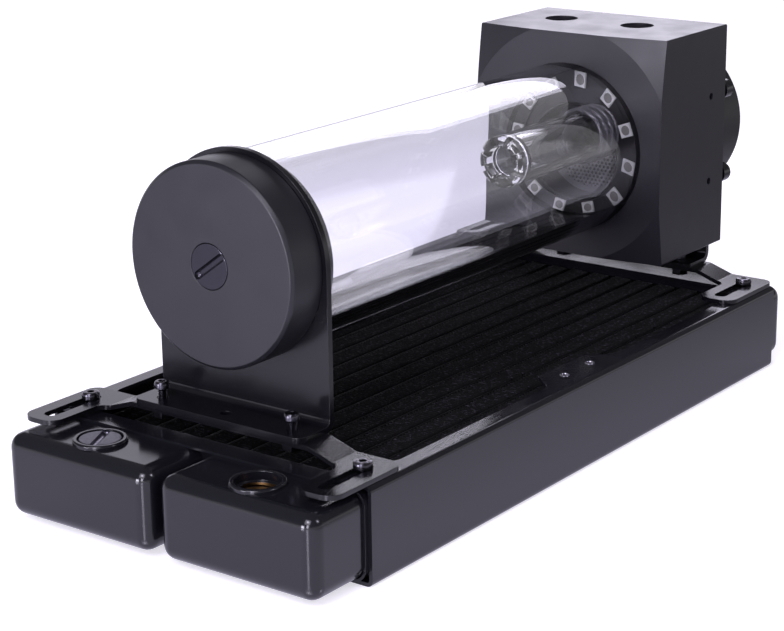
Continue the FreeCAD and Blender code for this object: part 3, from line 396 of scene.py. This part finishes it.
def grown(name, tree, points, body, nodes=(), inputs=None, smooth=30):
    """Runs a tree on a set of points and keeps the result as a plain mesh on its body."""
    seed = bpy.data.meshes.new(name)
    seed.from_pydata([Vector(p) for p in points], [], [])
    piece = bpy.data.objects.new(name, seed)
    scene.collection.objects.link(piece)
    maker = piece.modifiers.new("maker", "NODES")
    maker.node_group = tree
    for item in tree.interface.items_tree:
        if item.item_type == "SOCKET" and item.in_out == "INPUT" and item.name in (inputs or {}):
            maker[item.identifier] = inputs[item.name]
    depsgraph = bpy.context.evaluated_depsgraph_get()
    mesh = bpy.data.meshes.new_from_object(piece.evaluated_get(depsgraph), preserve_all_data_layers=True,
                                           depsgraph=depsgraph)
    piece.modifiers.clear()
    piece.data = mesh
    mesh.shade_smooth()
    mesh.set_sharp_from_angle(angle=math.radians(smooth))
    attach(piece, body)
    if nodes:
        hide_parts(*nodes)
    return piece


# Matt black core paint: a thin dry coat over brass and copper, rough. On the tops of the folds a few pale
# specks are painted in as glints: a painted highlight.
core_paint, tree, shader, here = new_finish("matt black core paint", "#08080a", Roughness=0.3, IOR=1.5)
rub = add(tree, "ShaderNodeTexNoise", {"Scale": per_mm(1.1), "Detail": 1.0}, {"Vector": here})
spark = add(tree, "ShaderNodeMapRange",
            {"From Min": 0.35, "From Max": 0.75, "To Min": 0.62, "To Max": 0.22}, {"Value": rub.outputs[0]})
tree.links.new(spark.outputs[0], shader.inputs["Roughness"])
tint = add(tree, "ShaderNodeMapRange", {"From Min": 0.4, "From Max": 0.8, "To Min": 0.0, "To Max": 1.0},
           {"Value": rub.outputs[0]})
body_colour = add(tree, "ShaderNodeMix", {"data_type": "RGBA", 6: linear("#060607"), 7: linear("#101012")},
                  {0: tint.outputs[0]})
fin_low, fin_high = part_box("fins")
level = add(tree, "ShaderNodeSeparateXYZ", links={0: here})
# Painted highlight: near the top of the folds, in sparse spots, the colour turns a pale grey that stands in
# for light glinting off them.
crest = add(tree, "ShaderNodeMapRange",
            {"From Min": fin_high.z - 0.3 * MM, "From Max": fin_high.z - 0.05 * MM},
            {"Value": level.outputs["Z"]})
sparse = add(tree, "ShaderNodeMapRange", {"From Min": 0.58, "From Max": 0.72}, {"Value": rub.outputs[0]})
bare = add(tree, "ShaderNodeMath", {"operation": "MULTIPLY"}, {0: crest.outputs[0], 1: sparse.outputs[0]})
folds_with_painted_glints = add(tree, "ShaderNodeMix", {"data_type": "RGBA", 7: linear("#55535d")},
                 {0: bare.outputs[0], 6: body_colour.outputs[2]})
tree.links.new(folds_with_painted_glints.outputs[2], shader.inputs["Base Color"])
tube_count = 12
tube_width = 2.0 * MM
inside = fin_high.x - fin_low.x
room = (inside - tube_count * tube_width) / (tube_count + 1)
strip_starts = [(fin_low.x + i * (room + tube_width), fin_low.y, (fin_low.z + fin_high.z) / 2)
                for i in range(tube_count + 1)]
fold = 1.5 * MM
long, high = fin_high.y - fin_low.y, fin_high.z - fin_low.z
# The tree folds a line into a zigzag, shifts its corners along the strip by chance, and makes it a sheet.
tree, given = new_tree("folded fins", Folds=2 * round(long / fold), Room=room, Length=long, Height=high,
                       Sheet=0.12 * MM, Unevenness=0.12 * MM)
pitch = add(tree, "ShaderNodeMath", {"operation": "DIVIDE"}, {0: given["Length"], 1: given["Folds"]})
step = add(tree, "ShaderNodeCombineXYZ", links={"Y": pitch.outputs[0]})
count = add(tree, "ShaderNodeMath", {"operation": "ADD", 1: 1.0}, {0: given["Folds"]})
line = add(tree, "GeometryNodeMeshLine", links={"Count": count.outputs[0], "Offset": step.outputs[0]})
index = add(tree, "GeometryNodeInputIndex")
side = add(tree, "ShaderNodeMath", {"operation": "MODULO", 1: 2.0}, {0: index.outputs[0]})
# A fold swings from one tube to the other and stays a little over one sheet's thickness clear of both.
clear = add(tree, "ShaderNodeMath", {"operation": "MULTIPLY_ADD", 1: -2.2},
            {0: given["Sheet"], 2: given["Room"]})
inset = add(tree, "ShaderNodeMath", {"operation": "MULTIPLY", 1: 1.1}, {0: given["Sheet"]})
swing = add(tree, "ShaderNodeMath", {"operation": "MULTIPLY_ADD"},
            {0: side.outputs[0], 1: clear.outputs[0], 2: inset.outputs[0]})
sideways = add(tree, "ShaderNodeCombineXYZ", links={"X": swing.outputs[0]})
zigzag = add(tree, "GeometryNodeSetPosition",
             links={"Geometry": line.outputs[0], "Offset": sideways.outputs[0]})
copies = add(tree, "GeometryNodeInstanceOnPoints",
             links={"Points": given["Geometry"], "Instance": zigzag.outputs[0]})
real = add(tree, "GeometryNodeRealizeInstances", links={0: copies.outputs[0]})
low_jitter = add(tree, "ShaderNodeVectorMath", {"operation": "MULTIPLY", 1: (0.0, -1.0, 0.0)},
                 {0: given["Unevenness"]})
high_jitter = add(tree, "ShaderNodeVectorMath", {"operation": "MULTIPLY", 1: (0.0, 1.0, 0.0)},
                  {0: given["Unevenness"]})
jitter = add(tree, "FunctionNodeRandomValue", {"data_type": "FLOAT_VECTOR", "Seed": 7},
             {0: low_jitter.outputs[0], 1: high_jitter.outputs[0]})
uneven = add(tree, "GeometryNodeSetPosition",
             links={"Geometry": real.outputs[0], "Offset": jitter.outputs[0]})
path = add(tree, "GeometryNodeMeshToCurve", links={"Mesh": uneven.outputs[0]})
upright = add(tree, "GeometryNodeSetCurveNormal", {"mode": "Z_UP"}, {"Curve": path.outputs[0]})
section = add(tree, "GeometryNodeCurvePrimitiveQuadrilateral",
              links={"Width": given["Sheet"], "Height": given["Height"]})
strip = add(tree, "GeometryNodeCurveToMesh", {"Fill Caps": True},
            {"Curve": upright.outputs[0], "Profile Curve": section.outputs[0]})
close_tree(tree, strip.outputs[0], core_paint)
dressed(grown("fin_strips", tree, strip_starts, "radiator", ["fins"], smooth=20), core_paint)
# The same paint lies thicker on the tubes, which face the nozzle: dull, without glints.
thick_paint, tree, shader, here = new_finish("thick core paint", "#060607", Roughness=0.85,
                                             Specular_IOR_Level=0.12)
fine_relief(tree, shader, here, grain=0.4, detail=2.0, strength=0.5, height=0.05)
dressed(eased("flat_tubes", 0.95, 5), thick_paint)


# Radiator ports
# Brass bushes soldered into the port tanks and sprayed with them, with a quarter inch pipe thread. The left
# one is shut by a blacked brass plug with a coin slot, on a rubber ring.

# The pipe thread, in millimetres: its pitch, the radius that is tapped, and the height of the ridge.
pipe_pitch, tapped, ridge = 1.337, 5.9, 0.6
# Blacked brass: turned, then stained black. The stain lies unevenly over the metal, which shines a dark grey.
blacked, tree, shader, here = new_finish("blacked brass", "#6c6a74", Metallic=1.0, Roughness=0.34)
uneven_gloss(tree, shader, here, grain=0.8, detail=4.0, low=0.28, high=0.42)
for node in ("port_collar_right", "port_collar_left"):
    dressed(eased(node, 0.2, 3), enamel)


def thread(work, radius, start, end, pitch, depth, place=Matrix.Identity(4), steps=20):
    """Adds a thread: a sharp ridge that climbs round Z. With a negative depth it points inwards."""
    turns = (end - start) / pitch
    count = max(3, round(turns * steps))
    rows = []
    for i in range(count + 1):
        share = i / count
        turn = 2 * math.pi * turns * share
        level = start + (end - start) * share
        swell = min(1, 4 * share * turns, 4 * (1 - share) * turns)
        row = []
        for off, out in ((-0.42, 0), (0, depth * swell), (0.42, 0), (0, -0.3 * depth)):
            reach = (radius + out) * MM
            row.append(work.verts.new(place @ Vector((reach * math.cos(turn), reach * math.sin(turn),
                                                      (level + off * pitch) * MM))))
        rows.append(row)
    faces = [work.faces.new(rows[0]), work.faces.new(rows[-1][::-1])]
    for a, b in zip(rows, rows[1:]):
        for i in range(4):
            j = (i + 1) % 4
            faces.append(work.faces.new((a[i], a[j], b[j], b[i])))
    bmesh.ops.recalc_face_normals(work, faces=faces)


def coin_plug(node, rim, place):
    """A plug with a coin slot that a round cutter left, and its thread. It points down from z = 0."""
    work = bmesh.new()
    turned(work, rim + [(6.75, -1.5), (6.65, -1.6), (5.85, -1.6), (5.85, -2.8), (5.2, -3.1), (5.2, -8.4),
                        (5.0, -8.6), (0, -8.6)], place, 96)
    piece = placed(node + "_turned", work, node, [node])
    # The cutter's radius, how far it goes out from the middle, and how deep its own middle lies.
    cutter, reach, sunk = 1.3, 5.4, 0.1
    arc = [math.radians(a) for a in range(0, 91, 15)]
    end = [(cutter * math.sin(a), -reach - cutter * math.cos(a)) for a in arc]
    capsule = end + [(radius, -station) for radius, station in reversed(end)]
    capsule[0], capsule[-1] = (0, capsule[0][1]), (0, capsule[-1][1])
    across = Matrix.Translation((0, 0, -sunk * MM)) @ Matrix.Rotation(math.radians(90), 4, "Y")
    drilled(piece, capsule, place @ across, 32)
    work = bmesh.new()
    thread(work, 5.2, -8.1, -3.3, pipe_pitch, ridge, place, 48)
    return piece, placed(node + "_thread", work, node)


plug_low, plug_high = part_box("port_plug")
plug_top = Vector(((plug_low.x + plug_high.x) / 2, (plug_low.y + plug_high.y) / 2, plug_high.z))
port_place = Matrix.Translation(plug_top) @ Matrix.Rotation(math.radians(-65), 4, "Z")
for piece in coin_plug("port_plug", [(0, 0), (6.0, 0), (6.2, -0.08), (6.7, -0.75)], port_place):
    dressed(piece, blacked)


def two_tones(tree, shader, here, grain, detail, dark, pale):
    """Lets the colour wander between two tones. The grain is in millimetres."""
    patches = add(tree, "ShaderNodeTexNoise", {"Scale": per_mm(grain), "Detail": detail}, {"Vector": here})
    tone = add(tree, "ShaderNodeMix", {"data_type": "RGBA", 6: linear(dark), 7: linear(pale)},
               {0: patches.outputs[0]})
    tree.links.new(tone.outputs[2], shader.inputs["Base Color"])


# Bare brass: the threads are not painted. Yellow metal with a dull tarnish.
brass, tree, shader, here = new_finish("bare brass", "#4c3922", Metallic=1.0, Roughness=0.4)
two_tones(tree, shader, here, grain=1.5, detail=3.0, dark="#3a2c1c", pale="#5e4628")
collar_low, collar_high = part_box("port_collar_right")
work = bmesh.new()
thread(work, tapped, collar_low.z / MM + 0.8, collar_high.z / MM - 3.4, pipe_pitch, -ridge,
       Matrix.Translation(((collar_low.x + collar_high.x) / 2, (collar_low.y + collar_high.y) / 2, 0)), 48)
dressed(placed("port_thread", work, "radiator"), brass)

# Nitrile rubber: moulded, dull black, with a faint grain, drawn coarser than real so that it shows.
rubber, tree, shader, here = new_finish("nitrile rubber", "#131315", Roughness=0.62, IOR=1.52)
fine_relief(tree, shader, here, grain=0.6, detail=2.0, strength=0.2, height=0.02)
for node in ("port_plug_seal", "fill_plug_seal", "cap_seals", "tube_seal", "pump_seal", "cable_gland"):
    dressed(eased(node, 0.25, 3), rubber)


# Brackets
# Two slotted bars across the rails, and two arched uprights that clasp the reservoir. They are cut from
# steel sheet, folded, and powder coated in glossy black.

# Gloss powder coat: a fused resin film, a little rippled, that mirrors its surroundings.
powder, tree, shader, here = new_finish("gloss powder coat", "#0e0e12", Roughness=0.2, IOR=1.5)
fine_relief(tree, shader, here, grain=3, detail=0.0, strength=0.1, height=0.002)
for node in ("cross_bracket_front", "cross_bracket_rear", "upright_bracket_front", "upright_bracket_rear"):
    dressed(eased(node, 0.3, 3), powder)


# Machine screws and nuts
# Three millimetre pan heads with a hexagon socket, in the slots, the feet and the clamp, nuts under the
# bars, and headless screws in the block's sides. Steel with a black oxide finish, rubbed brighter in spots.

# Black oxide steel: dark grey metal with a thin oil film.
oxide, tree, shader, here = new_finish("black oxide steel", "#3c3b42", Metallic=1.0, Roughness=0.22)
two_tones(tree, shader, here, grain=0.5, detail=3.0, dark="#2e2d33", pale="#66646c")
head_tall = 2.2


def machine_screw(length, bare, head=2.8):
    """One screw that points down from z = 0, with its thread cut from the bare length on."""
    work = bmesh.new()
    turned(work, [(0, 1.0), (1.0, 1.0, 6), (1.0, 2.0, 6), (1.12, 2.12), (head - 0.8, head_tall),
                  (head - 0.3, 2.05), (head - 0.08, 1.65), (head, 1.1), (head, 0.15), (head - 0.12, 0.0),
                  (1.2, 0.0), (1.2, -length + 0.3), (0.95, -length), (0, -length)])
    metric_pitch = 0.5
    if length - bare > 0.6:
        thread(work, 1.19, -length + 0.4, -bare - 0.2, metric_pitch, 0.28)
    return as_object("screw pattern", work)


def copies_of(pattern, name, places, turn, body, nodes, finish):
    """Sets copies of one pattern on their places with a tree, and drops the pattern."""
    tree, given = new_tree(name + " places", Pattern=pattern, Turn=turn)
    source = add(tree, "GeometryNodeObjectInfo", links={"Object": given["Pattern"]})
    rotation = add(tree, "FunctionNodeEulerToRotation", links={0: given["Turn"]})
    copies = add(tree, "GeometryNodeInstanceOnPoints",
                 links={"Points": given["Geometry"], "Instance": source.outputs["Geometry"],
                        "Rotation": rotation.outputs[0]})
    close_tree(tree, copies.outputs[0], finish)
    piece = grown(name, tree, places, body, nodes, {"Pattern": pattern, "Turn": turn})
    bpy.data.objects.remove(pattern)
    dressed(piece, finish)


def middles(node, centre, axes):
    """Middles of a node's solids, told apart by the side of the centre that they lie on along the axes."""
    found = {}
    for corner in frame["nodes"][node].data.vertices:
        side = tuple(corner.co[axis] > centre[axis] for axis in axes)
        found.setdefault(side, []).append(corner.co.copy())
    return [tuple((min(c[i] for c in group) + max(c[i] for c in group)) / 2 for i in range(3))
            for group in found.values()]


rail_low, rail_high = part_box("side_rail_right")
base_middle = Vector((0, (rail_low.y + rail_high.y) / 2, 0))
screw_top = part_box("slot_screws")[1].z
slot_spots = [(x, y, screw_top - head_tall * MM) for x, y, z in middles("slot_screws", base_middle, (0, 1))]
copies_of(machine_screw(2.7, 0.2), "slot_screw_heads", slot_spots, (0.0, 0.0, 0.4), "radiator",
          ["slot_screws"], oxide)
# Bare tapped steel: the burred edge of a screw hole where the tap broke through the enamel. Bright, smooth.
tapped_steel, tree, shader, here = new_finish("bare tapped steel", "#b9b7c0", Metallic=1.0, Roughness=0.22)
uneven_gloss(tree, shader, here, grain=0.6, detail=2.0, low=0.15, high=0.32, ends=(0.0, 1.0))
# The holes of two fans that meet are 105 mm apart across the rails and 15 mm along them.
hole_sides, hole_rows = (-52.5, 52.5), (-11.65, 3.35)
burr = [(1.18, 28.9), (1.26, 28.9), (1.26, 29.9), (1.62, 30.01), (1.56, 30.1), (1.3, 30.1), (1.18, 29.9)]
work = bmesh.new()
for side in hole_sides:
    for row in hole_rows:
        turned(work, burr, Matrix.Translation((side * MM, row * MM, 0)), 24)
dressed(placed("tapped_rims", work, "radiator"), tapped_steel)
# The front screws stand proud, on bare thread. The rear ones are driven home.
foot_top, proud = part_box("foot_screws")[1].z, 3.0
foot_spots = middles("foot_screws", base_middle, (0, 1))
front_feet = [(x, y, foot_top - head_tall * MM) for x, y, z in foot_spots if y < 0]
rear_feet = [(x, y, foot_top - (head_tall + proud) * MM) for x, y, z in foot_spots if y > 0]
small_head = 2.35
copies_of(machine_screw(9.3, 0.1, small_head), "foot_screws_front", front_feet, (0.0, 0.0, 0.2), "carriage",
          ["foot_screws"], oxide)
copies_of(machine_screw(6.3, 0.1, small_head), "foot_screws_rear", rear_feet, (0.0, 0.0, 0.9), "carriage",
          ["foot_screws"], oxide)
dressed(eased("foot_nuts", 0.2, 2), oxide)
dressed(eased("set_screws", 0.12, 2), oxide)


# End cap
# A turned disc that closes the front of the tube, with a thin bevel round its face. Black acetal, left as
# it comes off the lathe: a dull silk with the tool's rings hardly to be seen. A plated plug shuts its middle.
acetal, tree, shader, here = new_finish("turned black acetal", "#1b1b20", Roughness=0.38, IOR=1.48)
tube_low, tube_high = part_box("glass_tube")
axis_z = (tube_low.z + tube_high.z) / 2
# The tool's rings are drawn about 2 mm apart. Real ones are far finer and wouldn't show.
moved = add(tree, "ShaderNodeMapping", {"Location": (0.0, 0.0, -axis_z)}, {"Vector": here})
in_plane = add(tree, "ShaderNodeVectorMath", {"operation": "MULTIPLY", 1: (1.0, 0.0, 1.0)},
               {0: moved.outputs[0]})
far = add(tree, "ShaderNodeVectorMath", {"operation": "LENGTH"}, {0: in_plane.outputs[0]})
rings = add(tree, "ShaderNodeMath", {"operation": "MULTIPLY", 1: per_mm(0.35)}, {0: far.outputs["Value"]})
wave = add(tree, "ShaderNodeMath", {"operation": "SINE"}, {0: rings.outputs[0]})
tool_marks = add(tree, "ShaderNodeBump", {"Strength": 0.05, "Distance": 0.01 * MM},
                 {"Height": wave.outputs[0]})
tree.links.new(tool_marks.outputs[0], shader.inputs["Normal"])
uneven_gloss(tree, shader, here, grain=9, detail=3.0, low=0.34, high=0.42)
dressed(eased("end_cap", 0.25, 3), acetal)
fill_place = (Matrix.Translation((0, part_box("fill_plug")[0].y, axis_z))
              @ Matrix.Rotation(math.radians(90), 4, "X") @ Matrix.Rotation(math.radians(36), 4, "Z"))
# Black plated brass, satin: the plug is smoother than the acetal round it, so its slot catches the light.
plug_metal, tree, shader, here = new_finish("black plated brass, satin", "#3c3b42", Metallic=0.8,
                                            Roughness=0.2)
uneven_gloss(tree, shader, here, grain=2, detail=2.0, low=0.17, high=0.25, ends=(0.0, 1.0))
for piece in coin_plug("fill_plug", [(0, 0), (6.6, 0), (6.72, -0.06), (6.75, -0.2)], fill_place):
    dressed(piece, plug_metal)


# Glass tube
# Borosilicate glass, 60 mm across with a 4 mm wall, drawn and cut square, its ends just broken with a
# stone. It stands between the cap's seals and the groove of the pump block.
glass, tree, shader, here = new_finish("borosilicate glass", "#fdfdff", Roughness=0.0, IOR=1.474,
                                       Transmission_Weight=1.0)
# The faint lines of drawing run along the tube, so the pattern is stretched that way.
along = add(tree, "ShaderNodeMapping", {"Scale": (1.0, 0.04, 1.0)}, {"Vector": here})
fine_relief(tree, shader, along.outputs[0], grain=9, detail=1.0, strength=0.1, height=0.02)
wall, broken = 4.0, 0.4
outer = (tube_high.x - tube_low.x) / 2 / MM
bore = outer - wall
front, back = tube_low.y / MM, tube_high.y / MM
about_axis = Matrix.Translation((0, 0, axis_z)) @ Matrix.Rotation(math.radians(-90), 4, "X")
work = bmesh.new()
turned(work, [(bore, front + broken), (bore + broken, front), (outer - broken, front),
              (outer, front + broken), (outer, back - broken), (outer - broken, back),
              (bore + broken, back), (bore, back - broken)], about_axis, 256)
dressed(placed("glass_tube_drawn", work, "carriage", ["glass_tube"], 25), glass)


# Pump block
# A square block of black acetal that carries tube, pump and two open ports. Its face is turned flat and its
# corners fall back from the circle. The edges are broken by hand.
block_finish, tree, shader, here = new_finish("milled black acetal", "#1a191f", Roughness=0.36, IOR=1.48)
uneven_gloss(tree, shader, here, grain=11, detail=4.0, low=0.32, high=0.41)
fine_relief(tree, shader, here, grain=0.5, detail=2.0, strength=0.06, height=0.02)
dressed(eased("pump_block", 0.3, 3, 12, 10), block_finish)
block_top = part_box("pump_block")[1].z / MM
top_ports = ((-19.0, 97.85), (12.5, 97.85))
work = bmesh.new()
for port_x, port_y in top_ports:
    thread(work, tapped, block_top - 11.2, block_top - 0.7, pipe_pitch, -ridge,
           Matrix.Translation((port_x * MM, port_y * MM, 0)), 48)
dressed(placed("block_port_threads", work, "carriage"), block_finish)
# Burnished acetal: the lip of the inlet, rubbed shiny by the tool.
burnished, tree, shader, here = new_finish("burnished acetal", "#1c1b20", Roughness=0.14, IOR=1.48)
uneven_gloss(tree, shader, here, grain=1.0, detail=2.0, low=0.1, high=0.2, ends=(0.0, 1.0))
strainer_low, strainer_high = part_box("inlet_strainer")
strainer_radius = 17.45
recess_z = strainer_low.z + strainer_radius * MM
about_recess = Matrix.Translation((0, 0, recess_z)) @ Matrix.Rotation(math.radians(-90), 4, "X")
recess_radius, lip, lip_y = 17.5, 0.35, 73.47
around = [math.radians(a) for a in range(0, 360, 45)]
work = bmesh.new()
bead = [(recess_radius + lip * math.cos(a), lip_y + lip * math.sin(a)) for a in around]
turned(work, bead, about_recess, 128)
dressed(placed("inlet_lip", work, "carriage"), burnished)


# Light ring
# A ring shaped circuit board under black solder mask, with twelve square white lamps soldered to it.

# Solder mask: a thin epoxy film, glossy and a little rippled.
mask, tree, shader, here = new_finish("black solder mask", "#0d0f12", Roughness=0.28, IOR=1.52)
fine_relief(tree, shader, here, grain=1.2, detail=1.0, strength=0.2, height=0.02)
dressed(eased("led_board", 0.1, 2), mask)
# Lamp: a white moulded frame round a disc of clear silicone over the chip.
lamp_white, tree, shader, here = new_finish("white lamp moulding", "#e9e9ea", Roughness=0.35, IOR=1.5)
two_tones(tree, shader, here, grain=1.5, detail=1.0, dark="#e2e2e4", pale="#f1f1f0")
# The corners of a lamp reach as far out as those of the solids, which gives the radius of its middle.
half_lamp = 2.2
far = max(math.hypot(v.co.x, v.co.z - axis_z) for v in frame["nodes"]["leds"].data.vertices) / MM
ring = math.sqrt(far * far - half_lamp * half_lamp) - half_lamp


def patterned(name, *profiles):
    """An object to copy, made of turned shapes that look forwards."""
    work = bmesh.new()
    for profile in profiles:
        turned(work, profile, Matrix.Rotation(math.radians(90), 4, "X"))
    return as_object(name, work)


frame_pattern = patterned("lamp frame", [(0, 0.55), (1.6, 0.55), (1.72, 0.86), (1.95, 0.9, 4),
                                         (2.08, 0.9, 4), (half_lamp, 0.78, 4), (half_lamp, 0, 4), (0, 0)])
# The tree sets a copy on each of twelve spokes, square to it.
tree, given = new_tree("lamps in a ring", Pattern=frame_pattern, Count=12, Radius=ring * MM,
                       Start=math.radians(20))
source = add(tree, "GeometryNodeObjectInfo", links={"Object": given["Pattern"]})
dots = add(tree, "GeometryNodeMeshLine", {"Offset": (0.0, 0.0, 0.0)}, {"Count": given["Count"]})
order = add(tree, "GeometryNodeInputIndex")
wedge = add(tree, "ShaderNodeMath", {"operation": "DIVIDE", 0: 2 * math.pi}, {1: given["Count"]})
turn = add(tree, "ShaderNodeMath", {"operation": "MULTIPLY_ADD"},
           {0: order.outputs[0], 1: wedge.outputs[0], 2: given["Start"]})
cosine = add(tree, "ShaderNodeMath", {"operation": "COSINE"}, {0: turn.outputs[0]})
sine = add(tree, "ShaderNodeMath", {"operation": "SINE"}, {0: turn.outputs[0]})
heading = add(tree, "ShaderNodeCombineXYZ", links={"X": cosine.outputs[0], "Z": sine.outputs[0]})
spot = add(tree, "ShaderNodeVectorMath", {"operation": "SCALE"},
           {0: heading.outputs[0], "Scale": given["Radius"]})
circle = add(tree, "GeometryNodeSetPosition",
             links={"Geometry": dots.outputs[0], "Position": spot.outputs[0]})
back_turn = add(tree, "ShaderNodeMath", {"operation": "MULTIPLY", 1: -1.0}, {0: turn.outputs[0]})
angles = add(tree, "ShaderNodeCombineXYZ", links={"Y": back_turn.outputs[0]})
rotation = add(tree, "FunctionNodeEulerToRotation", links={0: angles.outputs[0]})
lamps = add(tree, "GeometryNodeInstanceOnPoints",
            links={"Points": circle.outputs[0], "Rotation": rotation.outputs[0],
                   "Instance": source.outputs["Geometry"]})
group = add(tree, "GeometryNodeInstanceOnPoints",
            links={"Points": given["Geometry"], "Instance": lamps.outputs[0]})
close_tree(tree, group.outputs[0], lamp_white)
middle = [(0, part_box("leds")[1].y, axis_z)]
lamps_tree = tree
frames = grown("lamp_frames", lamps_tree, middle, "carriage", ["leds"], {"Pattern": frame_pattern})
dressed(frames, lamp_white)
bpy.data.objects.remove(frame_pattern)
# Lamp silicone: clear gel with yellow powder over the chip, greyish when it is off.
gel, tree, shader, here = new_finish("lamp silicone", "#8d8b86", Roughness=0.12, IOR=1.42)
two_tones(tree, shader, here, grain=0.4, detail=2.0, dark="#77757a", pale="#a5a29b")
gel_pattern = patterned("lamp gel", [(0, 0.74), (1.0, 0.7), (1.62, 0.62), (1.62, 0.5), (0, 0.5)])
dressed(grown("lamp_gels", lamps_tree, middle, "carriage", (), {"Pattern": gel_pattern}), gel)
bpy.data.objects.remove(gel_pattern)


# Riser
# A clear acrylic pipe in the reservoir with a notched end ring, held by a smoked ribbed fitting. It lets
# the returning coolant out far from the pump's inlet.

# Clear acrylic: cast, with flame polished ends.
acrylic, tree, shader, here = new_finish("clear acrylic", "#fafafc", Roughness=0.02, IOR=1.49,
                                         Transmission_Weight=1.0)
fine_relief(tree, shader, here, grain=5, detail=1.0, strength=0.15, height=0.1)
riser_low, riser_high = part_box("riser_tube")
riser_x = (riser_low.x + riser_high.x) / 2
riser_z = (riser_low.z + riser_high.z) / 2
about_riser = Matrix.Translation((riser_x, 0, riser_z)) @ Matrix.Rotation(math.radians(-90), 4, "X")
riser_bore, riser_outer = 6.0, 8.5
front, back = riser_low.y / MM, riser_high.y / MM
work = bmesh.new()
turned(work, [(riser_bore, front), (riser_outer, front), (riser_outer, back), (riser_bore, back)],
       about_riser, 96)
dressed(placed("riser_pipe", work, "carriage", ["riser_tube"], 25), acrylic)
dressed(eased("riser_tip", 0.25, 3), acrylic)
# Smoked acrylic: the fitting is tinted grey, and its ribs are rounded and polished.
smoked, tree, shader, here = new_finish("smoked acrylic", "#5d5b66", Roughness=0.06, IOR=1.49,
                                        Transmission_Weight=0.45)
uneven_gloss(tree, shader, here, grain=2, detail=2.0, low=0.03, high=0.12, ends=(0.0, 1.0))
fitting_low, fitting_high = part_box("riser_fitting")
start, stop = fitting_low.y / MM, fitting_high.y / MM
ribs, rib_wide, sleeve_bore, sleeve = 4, 1.3, 8.55, 8.7
rib_pitch = (stop - start - rib_wide) / (ribs - 1)
rib_round = ((0.0, 0.0), (0.1, 0.45), (0.3, 0.78), (0.5, 0.9), (0.7, 0.78), (0.9, 0.45), (1.0, 0.0))
ribbed = [(sleeve_bore, stop), (sleeve_bore, start), (sleeve, start)]
for i in range(ribs):
    for share, rise in rib_round:
        ribbed.append((sleeve + rise, start + i * rib_pitch + rib_wide * share))
ribbed.append((sleeve, stop))
work = bmesh.new()
turned(work, ribbed, about_riser, 96)
dressed(placed("riser_fitting_turned", work, "carriage", ["riser_fitting"], 50), smoked)


# Strainer
# A thin perforated disc that drops into the inlet's recess, moulded in one piece with its rim.

# Grey moulded nylon: an even lilac grey with a satin skin.
sieve, tree, shader, here = new_finish("grey moulded nylon", "#77757d", Roughness=0.4, IOR=1.53)
uneven_gloss(tree, shader, here, grain=0.7, detail=3.0, low=0.32, high=0.5)
boss_reach, rim_inner = 9.45, 15.2
front, back = strainer_low.y / MM, strainer_high.y / MM
work = bmesh.new()
turned(work, [(rim_inner, front), (strainer_radius, front), (strainer_radius, back), (rim_inner, back)],
       about_recess, 96)
rim = placed("strainer_rim", work, "carriage", ["inlet_strainer"])
drilled(rim, [(0, front - 1), (boss_reach, front - 1), (boss_reach, back + 1), (0, back + 1)], about_riser)
dressed(rim, sieve)
# Six sided cells whose round holes leave thin bars between them. They end where the riser's boss begins.
cell, hole, thick, mesh_reach = 1.6, 0.52, 0.8, 15.3
flats = cell / 2
work = bmesh.new()
turned(work, [(flats, 0, 6), (flats, thick, 6), (hole, thick), (hole, 0)],
       Matrix.Rotation(math.radians(-90), 4, "X"), 12)
mesh_pattern = as_object("strainer cell", work)
# More rows are tried than the disc holds, and a cell outside it is left out.
cells = []
for i in range(-24, 25):
    for j in range(-12, 13):
        x, z = cell * (i + j % 2 / 2), cell * j * math.sqrt(3) / 2
        clear_of_boss = math.hypot(x - riser_x / MM, z + (recess_z - riser_z) / MM) > boss_reach + flats
        if math.hypot(x, z) < mesh_reach and clear_of_boss:
            cells.append((x * MM, strainer_low.y, recess_z + z * MM))
copies_of(mesh_pattern, "strainer_mesh", cells, (0.0, 0.0, 0.0), "carriage", (), sieve)


# Pump
# A round motor behind the block: housing with flange, can, painted clamp ring with four screws, and inside
# it the wound stator and the impeller on its ceramic ball.

# Glass filled nylon: moulded, matt black, with a faint grain, drawn coarser than real so that it shows.
nylon, tree, shader, here = new_finish("glass filled nylon", "#18181b", Roughness=0.5, IOR=1.53)
fine_relief(tree, shader, here, grain=0.6, detail=3.0, strength=0.15, height=0.03)
for node in ("pump_housing", "pump_can"):
    dressed(eased(node, 0.3, 2), nylon)
dressed(eased("impeller", 0.3, 2), nylon)
dressed(eased("pump_clamp", 0.3, 2), powder)
clamp_low, clamp_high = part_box("clamp_screws")
clamp_middle = Vector((0, 0, (clamp_low.z + clamp_high.z) / 2))
clamp_spots = [(x, clamp_high.y - head_tall * MM, z)
               for x, y, z in middles("clamp_screws", clamp_middle, (0, 2))]
copies_of(machine_screw(13.2, 5.0, small_head), "clamp_screws_driven", clamp_spots,
          (math.radians(-90), 0.0, 0.0), "carriage", ["clamp_screws"], oxide)
# Laminated steel: grey plates pressed into a stack, drawn about 1 mm thick, twice as thick as real ones.
plates, tree, shader, here = new_finish("laminated steel", "#6a6a6e", Metallic=1.0, Roughness=0.45)
stack = add(tree, "ShaderNodeTexWave", {"bands_direction": "Y", "Scale": per_mm(3.0)}, {"Vector": here})
ridges = add(tree, "ShaderNodeBump", {"Strength": 0.4, "Distance": 0.1 * MM}, {"Height": stack.outputs[0]})
tree.links.new(ridges.outputs[0], shader.inputs["Normal"])
dressed(eased("stator", 0.2, 2), plates)
# Polished ceramic: pure white, glossy. A ball has no edge to ease.
ceramic, tree, shader, here = new_finish("polished ceramic", "#efece6", Roughness=0.08, IOR=1.76)
uneven_gloss(tree, shader, here, grain=0.3, detail=2.0, low=0.06, high=0.12)
dressed(eased("bearing_ball", 0.0, 1, 170), ceramic)
dressed(eased("bearing_pin", 0.15, 2), oxide)
